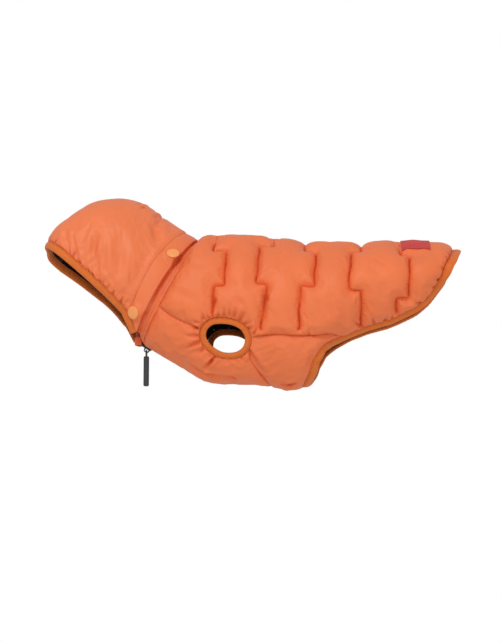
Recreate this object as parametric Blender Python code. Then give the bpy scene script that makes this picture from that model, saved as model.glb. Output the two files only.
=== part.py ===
"""A hooded, quilted winter coat for a small dog, filled out as it hangs when worn.

The frame is the wearer's: the head is at -X, the tail at +X and +Z is up. The
origin is on the lining over the spine at the withers. The coat's left side is
at -Y. Sizes in this file are millimetres until a mesh is made.

Every cloth piece lies on a skin, a smooth surface through a table of rings.
A place on a skin is (u, v): u runs along the wearer, v runs around the ring
from the spine, with the left side negative. A piece's own wall stands on its
skin, from a plain inner face to an outer face that is raised where it is
padded or gathered.
"""
import math
from collections import namedtuple

import bmesh
import bpy
import numpy as np
from mathutils import Matrix, Vector, geometry

MM = 0.001

# ---------------------------------------------------------------- driving sizes
SEAM_GAP = 0.3            # between two pieces that are sewn together
STITCH_PITCH = 2.0
SEAM_SPACING = 6.0        # between the corners of a seam
STITCH_SPACING = 7.0      # between the corners of a quilting line
PANEL_SPACING = 9.0
FRONT_SPACING = 10.0
HOOD_SPACING = 11.0
GATHER_SPACING = 4.4      # between places where cloth is gathered or folded
GATHER_MARGIN = 13.0      # how far from a gathered edge that holds
LINING_SPACING = 17.0
CLOTH_EDGE = 3.0          # wall at a seam: shell, wadding and lining pressed flat
BACK_LOFT = 11.0          # wall at the crest of a quilted channel
BACK_LOFT_REACH = 20.0    # distance from a stitch line to the full loft
CHEST_LOFT = 5.0
CHEST_LOFT_REACH = 16.0
HOOD_WALL = 3.0
HEM_WIDTH = 9.5
FACE_BINDING_WIDTH = 9.0
LEG_BINDING_WIDTH = 7.4
HEM_THICKNESS = 4.4
BINDING_THICKNESS = 4.2   # of the bindings round the face and the leg holes
ZIP_HALF_WIDTH = 4.0
HOOD_ROLL = 7.5           # degrees that the hood has slid around the collar
SNAP_DIAMETER = 15.0
SNAP_HEIGHT = 2.2
SNAP_RIM = 0.5            # height of the cap's edge, which is bevelled above and below
SNAP_SIDES = 20
BAND_WALL = 3.0
BAND_CROWN = 0.6          # how much thicker the band is along its middle
BAND_FOOT_EASE = 0.4          # how much thinner the band is at its foot
BAND_END_GAP = 1.2        # between the band's end and the binding that turns past it
BAND_SECTIONS = 49
COLLAR_WALL = 2.6
COLLAR_UNDERLAP = 0.3     # how much lower than its seam gap the collar lies under the band
COLLAR_END_MARGIN = 2.0       # the collar stops this far short of the zip
COLLAR_TUCK = 0.8             # how far its edge lies under the band's foot
ZIP_TAPE_WALL = 1.5
ZIP_TAPE_LIFT = 0.2
ZIP_COIL_HEIGHT = 3.0
ZIP_COIL_HALF = 1.6
ZIP_END_X = 88.0

SLIDER_AT = 4.7           # middle of the slider from the neck seam, down the zip
SLIDER_LENGTH = 11.5
SLIDER_WIDTH = 7.4
SLIDER_LOW, SLIDER_HIGH = 0.8, 5.4
SLIDER_ROUND = 1.1
SLIDER_TAPER = 0.22       # how much narrower the slider is at its tail end
ZIP_CLEARANCE = 4.0       # between the slider's end and the closed coil
BRIDGE_LENGTH = 7.6
BRIDGE_WIDTH = 2.2
BRIDGE_BAR = 1.2
BRIDGE_WINDOW = 4.0       # length of the window that the pull's pin lies in
BRIDGE_SHOULDER = 0.9         # how far in the bridge's legs lean at its bar
BRIDGE_SLOPE = 2.2            # how far in its top begins
BRIDGE_SINK = 1.0         # how deep the bridge's feet go into the slider
PIN_RADIUS = 0.8
PIN_PLAY = 0.35
PIN_AT = 5.8
PIN_LIFT = 7.0
PULL_ARM_DROP = 6.6
PULL_ARM_OUT = 2.9
PULL_ARM_IN = 1.7
PULL_ARM_HALF = 0.8       # half the thickness of the arms
PULL_ARM_FOOT = 1.0       # how far the arms reach into the tab
PULL_WINDOW_FOOT = 1.2    # how much higher than that the window between them ends
PULL_TAB_TOP = 6.4
PULL_TAB_END = 41.0
PULL_TAB_WIDE = 6.2
PULL_TAB_DEEP = 5.0
PULL_TAB_ROUND = 1.6
LABEL_START, LABEL_END = 192.8, 225.0
LABEL_HALF_FRONT, LABEL_HALF_REAR = 27.3, 32.5
LABEL_WALL = 1.0
GUARD_HALF_WIDTH = 9.0    # the cloth guard that wraps the top of the zip
GUARD_FRONT_X, GUARD_BACK_X = -111.6, -102.8
GUARD_TOP_Z, GUARD_LOW_Z = -101.0, -116.6
GUARD_WALL = 2.4
GUARD_STEPS = 17

LEG_GATHERS = 19
LEG_GATHER_DEPTH = 2.6
LEG_GATHER_REACH = 15.0
FACE_GATHERS = 11
FACE_GATHER_DEPTH = 1.8
FACE_GATHER_REACH = 22.0
HEM_GATHER_PITCH = 9.0
HEM_GATHER_DEPTH = 1.6
HEM_GATHER_REACH = 9.0
FLANK_START_X, FLANK_END_X = 105.0, 215.0     # where the hem is gathered
FLANK_FADE = 15.0

# The body's lining. A ring runs from its top on the spine to its lowest point,
# and is half_width wide at the fraction wide_at of its height. crown and keel
# are the roundness of its upper and lower part, 2 being an ellipse. Its middle
# bows towards the tail, down to the fraction bow_end of its height. Below the
# hem the rings only guide the flanks, which curl in under the belly.
Ring = namedtuple("Ring", "top_x top_z low_x low_z half_width wide_at crown keel bow bow_end",
                  defaults=(1.0,))
BODY_RINGS = (
    Ring(-38.0, 1.0, -99.5, -113.0, 45.0, 0.50, 2.0, 2.0, 2.0),
    Ring(-31.0, 0.8, -75.5, -127.0, 50.0, 0.50, 1.9, 2.0, 1.0),
    Ring(-20.0, 0.5, -53.0, -140.0, 54.0, 0.50, 1.9, 2.0, 0.0),
    Ring(-5.0, 0.2, -29.0, -153.0, 57.0, 0.49, 1.85, 2.0, 0.0),
    Ring(18.0, -0.5, 14.0, -157.0, 59.0, 0.48, 1.85, 2.0, 0.0),
    Ring(45.0, -3.0, 45.0, -160.0, 59.0, 0.46, 1.8, 2.0, 0.0),
    Ring(70.0, -6.0, 70.0, -163.5, 58.0, 0.45, 1.75, 2.0, 0.0),
    Ring(86.0, -7.5, 86.0, -160.5, 57.0, 0.44, 1.75, 2.0, 0.0),
    Ring(97.0, -8.2, 97.0, -156.0, 56.0, 0.43, 1.7, 2.0, 0.0),
    Ring(106.0, -8.6, 106.0, -145.0, 55.0, 0.43, 1.7, 1.9, 0.0),
    Ring(118.0, -9.0, 118.0, -130.0, 54.0, 0.43, 1.65, 1.6, 0.0),
    Ring(132.0, -9.2, 132.0, -119.0, 53.0, 0.43, 1.65, 1.45, 0.0),
    Ring(150.0, -9.0, 150.0, -111.0, 52.0, 0.42, 1.6, 1.4, 0.0),
    Ring(180.0, -8.2, 180.0, -102.5, 49.0, 0.42, 1.5, 1.4, 0.0),
    Ring(210.0, -9.6, 210.0, -91.0, 45.0, 0.42, 1.5, 1.4, 0.0),
    Ring(235.0, -10.4, 235.0, -71.0, 40.0, 0.44, 1.5, 1.5, 0.0),
    Ring(252.0, -11.2, 252.0, -60.0, 37.0, 0.46, 1.5, 1.8, 0.0),
    Ring(266.0, -12.5, 266.0, -56.0, 32.0, 0.48, 1.5, 1.8, 0.0),
)

# The hood's inner face. Its rings fan out from the throat, a line across the
# coat. The first two carry the snap band.
HoodRing = namedtuple("HoodRing", "top_x top_z half_width wide_at crown bow")
THROAT = (-114.5, -85.5, 33.0)        # x, z and half the distance across
THROAT_ROUNDNESS = 2.0
THROAT_FOLD = 14.0            # the hood lies flat this close to the throat
BAND_FOOT = Ring(-41.0, 4.0, -111.0, -118.0, 46.0, 0.50, 2.0, 2.0, -4.5)
BAND_FOOT_END = (-107.5, -105.5)       # x, z where the band's lower edge stops
HOOD_RINGS = (
    HoodRing(-54.5, 12.0, 49.0, 0.48, 2.0, -5.5),
    HoodRing(-80.5, 29.0, 50.5, 0.48, 2.0, -4.5),
    HoodRing(-101.0, 43.2, 52.0, 0.47, 2.0, -4.5),
    HoodRing(-119.0, 49.6, 53.5, 0.46, 2.1, -4.5),
    HoodRing(-136.0, 50.2, 54.0, 0.45, 2.2, -3.5),
    HoodRing(-161.0, 43.8, 54.0, 0.44, 2.4, -2.5),
    HoodRing(-185.0, 27.4, 52.0, 0.43, 2.7, -1.5),
    HoodRing(-201.0, 12.8, 50.0, 0.42, 3.0, -1.0),
    HoodRing(-209.0, -1.0, 48.0, 0.42, 3.2, 1.5),
)

# Places on the coat's side, seen square on.
Spot = namedtuple("Spot", "x z")
HEM_SEAM = (
    Spot(83.5, -157.0), Spot(88.5, -148.0), Spot(91.5, -138.0), Spot(96.0, -131.0),
    Spot(102.0, -122.0), Spot(111.0, -115.0), Spot(121.0, -109.5), Spot(132.0, -104.0),
    Spot(144.0, -99.0), Spot(155.5, -94.8), Spot(167.0, -91.4), Spot(177.5, -88.5),
    Spot(187.0, -84.5), Spot(196.0, -80.2), Spot(205.0, -75.7), Spot(213.0, -70.2),
    Spot(219.5, -64.4), Spot(225.5, -57.0), Spot(231.5, -48.0), Spot(237.0, -39.5),
    Spot(242.0, -31.0), Spot(247.0, -22.5),
)
HEM_START_X = 80.0
TAIL_SEAM_X = 252.5
LEG_HOLE = (
    Spot(-32.0, -109.0), Spot(-29.0, -99.5), Spot(-20.0, -92.5), Spot(-7.0, -91.0),
    Spot(8.0, -93.5), Spot(20.0, -101.0), Spot(25.5, -113.0), Spot(22.0, -126.0),
    Spot(10.0, -133.5), Spot(-7.0, -134.0), Spot(-21.0, -127.5), Spot(-29.5, -118.0),
)
FRONT_SIDE_SEAM = (
    Spot(-79.5, -76.0), Spot(-67.0, -85.5), Spot(-58.0, -90.5), Spot(-48.0, -95.5),
    Spot(-31.0, -103.5),
)
REAR_SIDE_SEAM = (
    Spot(25.0, -111.5), Spot(40.0, -110.7), Spot(56.0, -110.0), Spot(72.0, -111.2),
    Spot(90.0, -110.8), Spot(104.0, -109.3), Spot(114.0, -108.0), Spot(123.0, -107.4),
)
BELLY_SEAM = (
    Spot(22.5, -125.0), Spot(25.0, -137.0), Spot(32.0, -147.0), Spot(40.0, -156.0),
)
BELLY_SEAM_END_X = 46.0

# Each quilting line steps sideways twice or more on its way from the spine to
# the side: it runs at spine_x down to step_1, then at upper_x down to step_2,
# then at lower_x to its foot. Its thread is slack at the spine, where the
# wadding stands up beside it as if the line were spine_slack away.
Stitch = namedtuple("Stitch",
                    "spine_x step_1 upper_x upper_foot step_2 lower_x foot_x foot_z spine_slack")
QUILT_LINES = (
    Stitch(-15.5, -17.0, -3.0, -4.5, -57.0, -15.5, -17.0, -88.0, 13.0),
    Stitch(48.0, -13.5, 33.5, 31.0, -55.0, 43.0, 36.0, -104.0, 10.0),
    Stitch(84.0, -18.0, 97.0, 95.0, -59.0, 80.0, 77.5, -104.0, 2.0),
    Stitch(148.0, -20.5, 137.0, 133.0, -61.0, 146.0, 146.0, -95.5, 1.0),
    Stitch(191.5, -24.5, 202.0, 198.0, -67.0, 185.5, 185.5, -80.5, 10.0),
)
SPINE_SLACK_REACH = 26.0      # how far down the side a line's slack reaches

# The largest folds, each a soft trough from one spot to another, that fades
# out towards the seams.
FOLD_FADE = 6.0
Fold = namedtuple("Fold", "x1 z1 x2 z2 wide deep")
BODY_FOLDS = (
    Fold(-57.0, -122.0, -29.0, -114.0, 3.2, 1.8),
    Fold(-31.0, -143.0, -12.0, -130.0, 3.2, 2.8),
    Fold(31.0, -140.0, 43.0, -156.0, 4.0, 1.8),
)
HOOD_FOLDS = (
    Fold(-88.0, 23.0, -88.0, -11.0, 5.0, 2.4),
    Fold(-126.0, -7.0, -126.0, -43.0, 7.0, 1.6),
    Fold(-153.0, -3.0, -154.0, -38.0, 4.4, 1.5),
    Fold(-179.0, -2.0, -174.0, -26.0, 4.0, 1.8),
)

# A snap cap sits on the band at a share of its length, off its middle towards
# the hood, and tips a little as the cloth under it is squeezed.
Snap = namedtuple("Snap", "name share off_middle tip_x tip_z")
SNAPS = (
    Snap("back", 0.40, -2.4, -0.2, 0.45),
    Snap("throat", 0.94, 4.0, -0.45, 0.1),
)

# ------------------------------------------------------------------- materials
Finish = namedtuple("Finish", "colour roughness metallic")
ORANGE_SHELL = Finish((0.80, 0.19, 0.075), 0.55, 0.0)
HOOD_SHELL = Finish((0.78, 0.20, 0.08), 0.55, 0.0)
BINDING_CLOTH = Finish((0.62, 0.15, 0.035), 0.7, 0.0)
SNAP_PLASTIC = Finish((0.95, 0.30, 0.08), 0.35, 0.0)
LABEL_CLOTH = Finish((0.50, 0.03, 0.04), 0.7, 0.0)
GUARD_CLOTH = Finish((0.72, 0.09, 0.03), 0.55, 0.0)
ZIP_CLOTH = Finish((0.02, 0.02, 0.02), 0.6, 0.0)
SLIDER_METAL = Finish((0.06, 0.06, 0.07), 0.35, 0.9)
PULL_RUBBER = Finish((0.03, 0.03, 0.035), 0.5, 0.0)


def material(name, finish):
    """A Principled material with one of the finishes above."""
    made = bpy.data.materials.new(name)
    made.use_nodes = True
    shader = made.node_tree.nodes["Principled BSDF"]
    shader.inputs["Base Color"].default_value = (*finish.colour, 1.0)
    shader.inputs["Roughness"].default_value = finish.roughness
    shader.inputs["Metallic"].default_value = finish.metallic
    return made


def add_object(name, points, faces, finish, sharp_angle=50.0):
    """Make one named object from points in millimetres."""
    mesh = bpy.data.meshes.new(name)
    mesh.from_pydata([tuple(float(c) * MM for c in p) for p in points], [], faces)
    mesh.calc_loop_triangles()
    volume = 0.0
    for triangle in mesh.loop_triangles:
        a, b, c = (mesh.vertices[i].co for i in triangle.vertices)
        volume += a.dot(b.cross(c))
    if volume < 0:
        mesh.flip_normals()
    mesh.shade_smooth()
    mesh.set_sharp_from_angle(angle=math.radians(sharp_angle))
    mesh.materials.append(material(name, finish))
    made = bpy.data.objects.new(name, mesh)
    bpy.context.scene.collection.objects.link(made)
    return made


# -------------------------------------------------------------- lines of points
def unit(vectors):
    return vectors / np.linalg.norm(vectors, axis=-1, keepdims=True)


def walk_of(points):
    """How far along a broken line each of its points is."""
    return np.concatenate([[0.0], np.cumsum(np.linalg.norm(np.diff(points, axis=0), axis=1))])


# ----------------------------------------------------------------------- skins
def smooth_column(stations, values, wanted):
    """A cubic through the values, with slopes that never overshoot them."""
    stations = np.asarray(stations, float)
    values = np.asarray(values, float)
    runs = np.diff(stations)
    rises = np.diff(values) / runs
    slopes = np.zeros_like(values)
    slopes[0], slopes[-1] = rises[0], rises[-1]
    slopes[1:-1] = (rises[:-1] * runs[1:] + rises[1:] * runs[:-1]) / (runs[:-1] + runs[1:])
    cell = np.clip(np.searchsorted(stations, wanted, side="right") - 1, 0, len(runs) - 1)
    run = runs[cell]
    t = np.clip((wanted - stations[cell]) / run, -0.5, 1.5)
    return ((2 * t**3 - 3 * t**2 + 1) * values[cell] + (t**3 - 2 * t**2 + t) * run * slopes[cell]
            + (3 * t**2 - 2 * t**3) * values[cell + 1] + (t**3 - t**2) * run * slopes[cell + 1])


class Skin:
    """The smooth surface through a table of rings."""

    ALONG_STEP = 1.5
    AROUND_STEPS = 120

    def __init__(self, rings):
        rows = np.array([tuple(r) for r in rings], float)
        stations = walk_of(np.array([self._side_point(r) for r in rings]))
        self.length = stations[-1]
        count = int(self.length / self.ALONG_STEP) + 2
        self.along = np.linspace(0.0, self.length, count)
        columns = [smooth_column(stations, rows[:, c], self.along) for c in range(rows.shape[1])]
        ring_at = [Ring(*values) for values in zip(*columns)]
        curves = [self._curve(r) for r in ring_at]
        self.grid = np.array([c[0] for c in curves])
        self.girth = np.array([c[1] for c in curves])
        along_slope = np.gradient(self.grid, self.along, axis=0)
        around_slope = np.gradient(self.grid, axis=1)
        outward = np.cross(around_slope, along_slope)
        outward[:, 0] *= (1.0, 0.0, 1.0)
        outward[:, -1] *= (1.0, 0.0, 1.0)
        if outward[count // 2, self.AROUND_STEPS // 2, 1] > 0:
            outward = -outward
        self.normals = unit(outward)
        self.tops = np.array([r.top_x for r in ring_at])
        self.normal_ends = None

    @staticmethod
    def _axes(ring):
        down = np.array([ring.low_x - ring.top_x, 0.0, ring.low_z - ring.top_z])
        height = np.linalg.norm(down)
        down /= height
        tailward = np.array([-down[2], 0.0, down[0]])
        return down, tailward, height

    def _side_point(self, ring):
        down, tailward, height = self._axes(ring)
        top = np.array([ring.top_x, 0.0, ring.top_z])
        bow = ring.bow * math.sin(math.pi * ring.wide_at / ring.bow_end)
        return top + down * height * ring.wide_at + tailward * bow

    def _curve(self, ring):
        """The ring's left half at even steps, from its top to its lowest point."""
        down, tailward, height = self._axes(ring)
        upper = ring.wide_at * height
        lower = height - upper
        turn = np.linspace(0.0, math.pi / 2, 160)
        sines, cosines = np.sin(turn), np.cos(turn)
        cosines[-1] = 0.0
        depth = np.concatenate([upper * (1 - cosines ** (2 / ring.crown)),
                                upper + lower * sines[1:] ** (2 / ring.keel)])
        width = ring.half_width * np.concatenate([sines ** (2 / ring.crown),
                                                  cosines[1:] ** (2 / ring.keel)])
        bow = ring.bow * np.sin(math.pi * np.clip(depth / height / ring.bow_end, 0.0, 1.0))
        points = (np.array([ring.top_x, 0.0, ring.top_z]) + depth[:, None] * down
                  + bow[:, None] * tailward)
        points[:, 1] = -width
        walked = walk_of(points)
        wanted = np.linspace(0.0, walked[-1], self.AROUND_STEPS + 1)
        even = np.stack([np.interp(wanted, walked, points[:, c]) for c in range(3)], axis=1)
        return even, walked[-1]

    def half_girth(self, u):
        """Length of half the ring, from the spine to its lowest point."""
        return np.interp(u, self.along, self.girth)

    def station_over(self, x):
        """The station whose ring tops out over x on a body that runs to +X."""
        return float(np.interp(x, self.tops, self.along))

    def _blend(self, table, u, v):
        u = np.clip(np.asarray(u, float), 0.0, self.length)
        v = np.asarray(v, float)
        row = np.clip(u / (self.along[1] - self.along[0]), 0, len(self.along) - 1.000001)
        column = np.abs(v) / self.half_girth(u) * self.AROUND_STEPS
        column = np.clip(column, 0, self.AROUND_STEPS - 0.000001)
        i, j = row.astype(int), column.astype(int)
        a, b = (row - i)[..., None], (column - j)[..., None]
        found = ((1 - a) * (1 - b) * table[i, j] + a * (1 - b) * table[i + 1, j]
                 + (1 - a) * b * table[i, j + 1] + a * b * table[i + 1, j + 1])
        found[..., 1] *= np.where(v > 0, -1.0, 1.0)
        return found

    def normal(self, u, v):
        """Outward normals at places on the skin.

        Where rings meet, the normals past normal_ends are those at its lengths.
        """
        if self.normal_ends is not None:
            end = np.interp(u, *self.normal_ends)
            v = np.clip(v, -end, end)
        return unit(self._blend(self.normals, u, v))

    def point(self, u, v, lift=0.0):
        """Points that stand lift millimetres off the skin."""
        lift = np.asarray(lift, float)[..., None]
        return self._blend(self.grid, u, v) + self.normal(u, v) * lift

    def locate(self, spot):
        """The place on the left side that is seen at a spot, square on."""
        seen = self.grid[:, :, (0, 2)]
        target = np.array([spot.x, spot.z])
        gap = np.linalg.norm(seen - target, axis=2)
        i, j = np.unravel_index(np.argmin(gap), gap.shape)
        place = np.array([self.along[i], -self.girth[i] * j / self.AROUND_STEPS])
        step = 0.5
        for _ in range(6):
            here = self.point(*place)[[0, 2]]
            slope_u = (self.point(place[0] + step, place[1])[[0, 2]] - here) / step
            slope_v = (self.point(place[0], place[1] + step)[[0, 2]] - here) / step
            slopes = np.stack([slope_u, slope_v], axis=1)
            move = np.linalg.lstsq(slopes, target - here, rcond=None)[0]
            place = place + np.clip(move, -3.0, 3.0)
            place[0] = min(max(place[0], 0.0), self.length)
        return place


# ---------------------------------------------------------------------- curves
def along_spline(knots, spacing=SEAM_SPACING, closed=False, count=None):
    """Evenly spaced places on a smooth curve through the knots."""
    knots = [np.asarray(k, float) for k in knots]
    if closed:
        ring = [knots[-1]] + knots + knots[:2]
    else:
        ring = [2 * knots[0] - knots[1]] + knots + [2 * knots[-1] - knots[-2]]
    fine = []
    for before, start, end, after in zip(ring, ring[1:], ring[2:], ring[3:]):
        for t in np.linspace(0.0, 1.0, 24, endpoint=False):
            fine.append(0.5 * (2 * start + (end - before) * t
                               + (2 * before - 5 * start + 4 * end - after) * t**2
                               + (3 * start - before - 3 * end + after) * t**3))
    fine.append(ring[-2])
    fine = np.array(fine)
    walked = walk_of(fine)
    if count is None:
        count = max(2, round(walked[-1] / spacing) + 1)
    wanted = np.linspace(0.0, walked[-1], count + (1 if closed else 0))
    places = np.stack([np.interp(wanted, walked, fine[:, c]) for c in range(2)], axis=1)
    return places[:-1] if closed else places


def join(*curves):
    """One closed outline from curves that meet end to end."""
    outline = []
    for curve in curves:
        for place in curve:
            if not outline or np.linalg.norm(place - outline[-1]) > 0.05:
                outline.append(np.asarray(place, float))
    if np.linalg.norm(outline[0] - outline[-1]) < 0.05:
        outline.pop()
    return np.array(outline)


def mirrored(curve):
    """The same curve on the other side of the spine, run backwards."""
    return np.array(curve)[::-1] * (1.0, -1.0)


def inset(outline, gap):
    """Move a closed outline, run anticlockwise, inwards by the gap."""
    before = unit(outline - np.roll(outline, 1, axis=0))
    after = unit(np.roll(outline, -1, axis=0) - outline)
    in_before = np.stack([-before[:, 1], before[:, 0]], axis=1)
    in_after = np.stack([-after[:, 1], after[:, 0]], axis=1)
    middle = in_before + in_after
    middle /= np.maximum(np.linalg.norm(middle, axis=1, keepdims=True), 1e-6)
    reach = np.maximum(np.sum(middle * in_after, axis=1, keepdims=True), 0.35)
    return outline + middle * gap / reach


def inside(outline, places):
    """Which places lie inside a closed outline."""
    x, y = places[:, 0], places[:, 1]
    hit = np.zeros(len(places), bool)
    for (ax, ay), (bx, by) in zip(outline, np.roll(outline, -1, axis=0)):
        crosses = (ay > y) != (by > y)
        if ay != by:
            hit ^= crosses & (x < (bx - ax) * (y - ay) / (by - ay) + ax)
    return hit


def divided(corners, spacing, closed=False):
    """A broken line with places no further apart than the spacing."""
    corners = np.asarray(corners, float)
    if closed:
        corners = np.vstack([corners, corners[:1]])
    places = [corners[:1]]
    for start, end in zip(corners, corners[1:]):
        count = max(1, math.ceil(np.linalg.norm(end - start) / spacing))
        places.append(start + (end - start) * np.linspace(0, 1, count + 1)[1:, None])
    places = np.vstack(places)
    return places[:-1] if closed else places


def nearest(places, dots):
    """The nearest dot to each place, and how far it is."""
    index = np.empty(len(places), int)
    gap = np.empty(len(places))
    batch = 400
    for start in range(0, len(places), batch):
        gaps = np.linalg.norm(places[start:start + batch, None] - dots[None], axis=2)
        index[start:start + batch] = gaps.argmin(axis=1)
        gap[start:start + batch] = gaps.min(axis=1)
    return index, gap


def gap_to(places, dots):
    """Distance from each place to the nearest dot."""
    return nearest(places, dots)[1]


def fold_gaps(points, fold):
    """How far along a fold each point is, and its distance from it in widths."""
    seen = points[:, (0, 2)]
    start, end = np.array([fold.x1, fold.z1]), np.array([fold.x2, fold.z2])
    run = end - start
    share = np.clip((seen - start) @ run / (run @ run), 0.0, 1.0)
    return share, np.linalg.norm(seen - (start + share[:, None] * run), axis=1) / fold.wide


def fold_heights(points, folds):
    """What the folds add to the heights of points, on both sides alike."""
    added = np.zeros(len(points))
    for fold in folds:
        share, gap = fold_gaps(points, fold)
        taper = np.sin(math.pi * (0.12 + 0.76 * share))
        ridges = 0.35 * np.exp(-((gap - 1.7) / 0.8) ** 2)
        added -= fold.deep * taper * (np.exp(-gap**2) - ridges)
    return added


def near_fold(points, folds):
    """Which points lie in a fold or on its ridges."""
    return np.min([fold_gaps(points, fold)[1] for fold in folds], axis=0) < 2.0


# ---------------------------------------------------------------------- panels
def fill_places(outline, lines, spacing_at, levels):
    """Places inside an outline, closer together where spacing_at asks for it."""
    edge = np.vstack([divided(outline, STITCH_PITCH, closed=True)]
                     + [divided(line, STITCH_PITCH) for line in lines])
    low, high = outline.min(axis=0), outline.max(axis=0)
    kept = np.zeros((0, 2))
    for level, spacing in enumerate(levels):
        rows = np.arange(low[1], high[1], spacing * math.sqrt(3) / 2)
        places = np.array([(x + (spacing / 2 if r % 2 else 0), y)
                           for r, y in enumerate(rows) for x in np.arange(low[0], high[0], spacing)])
        places = places[inside(outline, places)]
        wanted = spacing_at(places)
        if level:
            places = places[wanted < levels[level - 1]]
            wanted = spacing_at(places)
        places = places[wanted >= (spacing if level < len(levels) - 1 else 0)]
        places = places[gap_to(places, edge) > spacing * 0.55]
        if len(kept) and len(places):
            places = places[gap_to(places, kept) > spacing * 0.8]
        kept = np.vstack([kept, places])
    return kept


def triangulate(outline, lines, places):
    """Triangles over an outline that keep to the lines: places and corners."""
    corners = [Vector(p) for p in outline]
    edges = []
    for line in lines:
        first = len(corners)
        corners += [Vector(p) for p in line]
        edges += [(first + i, first + i + 1) for i in range(len(line) - 1)]
    corners += [Vector(p) for p in places]
    found, _, faces, origins, _, _ = geometry.delaunay_2d_cdt(
        corners, edges, [list(range(len(outline)))], 1, 1e-5)
    spots = np.array([tuple(p) for p in found])
    rim = {}
    for index, sources in enumerate(origins):
        for source in sources:
            if source < len(outline):
                rim[source] = index
    turned = []
    for a, b, c in faces:
        area = np.cross(spots[b] - spots[a], spots[c] - spots[a])
        turned.append((a, b, c) if area > 0 else (a, c, b))
    return spots, turned, [rim[i] for i in range(len(outline))]


def straight(places):
    """The chart of a piece that is cut in its skin's own (u, v)."""
    return places[:, 0], places[:, 1]


class Panel:
    """A cloth piece: its outline and lines in a flat chart, its wall on a skin."""

    def __init__(self, skin, outline, height_at, fine_at, spacing, lines=(), chart=straight):
        self.skin, self.chart = skin, chart

        def spacing_at(places):
            return np.where(fine_at(places), GATHER_SPACING, spacing)

        def lining_spacing_at(places):
            return np.full(len(places), LINING_SPACING)

        front = fill_places(outline, lines, spacing_at, (spacing, GATHER_SPACING))
        self.spots, self.faces, self.rim = triangulate(outline, lines, front)
        self.heights = height_at(self.spots)
        back = fill_places(outline, (), lining_spacing_at, (LINING_SPACING,))
        self.back_spots, self.back_faces, self.back_rim = triangulate(outline, (), back)

    def raised(self, spots, lift):
        return self.skin.point(*self.chart(spots), lift)

    def build(self, name, finish, place=None, flip=False):
        """The closed wall between the plain inner face and the outer face."""
        outer = self.raised(self.spots, self.heights)
        inner = self.raised(self.back_spots, np.zeros(len(self.back_spots)))
        points = np.vstack([outer, inner])
        shift = len(outer)
        faces = [tuple(f) for f in self.faces]
        faces += [(a + shift, c + shift, b + shift) for a, b, c in self.back_faces]
        count = len(self.rim)
        for i in range(count):
            j = (i + 1) % count
            faces.append((self.back_rim[i] + shift, self.back_rim[j] + shift,
                          self.rim[j], self.rim[i]))
        if flip:
            points = points * (1.0, -1.0, 1.0)
            faces = [tuple(reversed(f)) for f in faces]
        if place is not None:
            points = place(points)
        return add_object(name, points, faces, finish)

    def build_patch(self, name, finish, patch, low, high):
        """A thin piece that lies on this one, made from its own outer points."""
        middles = np.array([self.spots[list(f)].mean(axis=0) for f in self.faces])
        chosen = [f for f, hit in zip(self.faces, inside(patch, middles)) if hit]
        used = sorted({i for f in chosen for i in f})
        order = {old: new for new, old in enumerate(used)}
        spots, heights = self.spots[used], self.heights[used]
        points = np.vstack([self.raised(spots, heights + high),
                            self.raised(spots, heights + low)])
        shift = len(used)
        faces = [tuple(order[i] for i in f) for f in chosen]
        edges = {pair for a, b, c in faces for pair in ((a, b), (b, c), (c, a))}
        rim = sorted(pair for pair in edges if pair[::-1] not in edges)
        faces += [(a + shift, c + shift, b + shift) for a, b, c in list(faces)]
        faces += [(a + shift, b + shift, b, a) for a, b in rim]
        return add_object(name, points, faces, finish)


def pillow(distance, full_loft, reach):
    """Height of a padded wall at a distance from its nearest stitching."""
    way = np.clip(distance / reach, 0.0, 1.0)
    return CLOTH_EDGE + (full_loft - CLOTH_EDGE) * (1 - (1 - way) ** 2) ** 0.7


# ------------------------------------------------------------- long thin pieces
def loft(name, sections, finish, closed=False, place=None, sharp_angle=60.0):
    """A solid through closed cross-sections that all have the same corners."""
    sections = [np.asarray(s, float) for s in sections]
    corners = len(sections[0])
    points = np.vstack(sections)
    faces = []
    last = len(sections) if closed else len(sections) - 1
    for i in range(last):
        j = (i + 1) % len(sections)
        for a in range(corners):
            b = (a + 1) % corners
            faces.append((i * corners + a, i * corners + b, j * corners + b, j * corners + a))
    if not closed:
        faces.append(tuple(reversed(range(corners))))
        faces.append(tuple((len(sections) - 1) * corners + a for a in range(corners)))
    if place is not None:
        points = place(points)
    return add_object(name, points, faces, finish, sharp_angle)


def binding_sections(points, normals, profile, closed=False, side=1.0, ends=None):
    """Cross-sections of a binding: profile corners are (across, lift).

    ends gives the directions across the binding at its two cut ends.
    """
    points = np.asarray(points, float)
    if closed:
        heading = np.roll(points, -1, axis=0) - np.roll(points, 1, axis=0)
    else:
        heading = np.gradient(points, axis=0)
    across = unit(np.cross(heading, normals)) * side
    if ends is not None:
        across[0], across[-1] = ends
    return [[p + a * along + n * lift for along, lift in profile]
            for p, a, n in zip(points, across, normals)]


def strip_profile(width, thickness):
    """A folded strip of binding, from the seam outwards."""
    start, sink = SEAM_GAP / 2, 0.6
    top = thickness - sink
    return ((start, 0.1), (start, top - 0.9), (width * 0.5, top), (width, top * 0.62),
            (width, top * 0.1), (width * 0.5, -sink))


# --------------------------------------------------------------- shared seams
body = Skin(BODY_RINGS)


def hood_ring(row):
    """A full ring from a hood row: it passes the throat line on its way down."""
    throat_x, throat_z, throat_half = THROAT
    share = math.sqrt(1 - (throat_half / row.half_width) ** 2)
    stretch = row.wide_at + share * (1 - row.wide_at)
    low_x = row.top_x + (throat_x - row.top_x) / stretch
    low_z = row.top_z + (throat_z - row.top_z) / stretch
    return Ring(row.top_x, row.top_z, low_x, low_z, row.half_width, row.wide_at,
                row.crown, THROAT_ROUNDNESS, row.bow, stretch)


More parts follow.
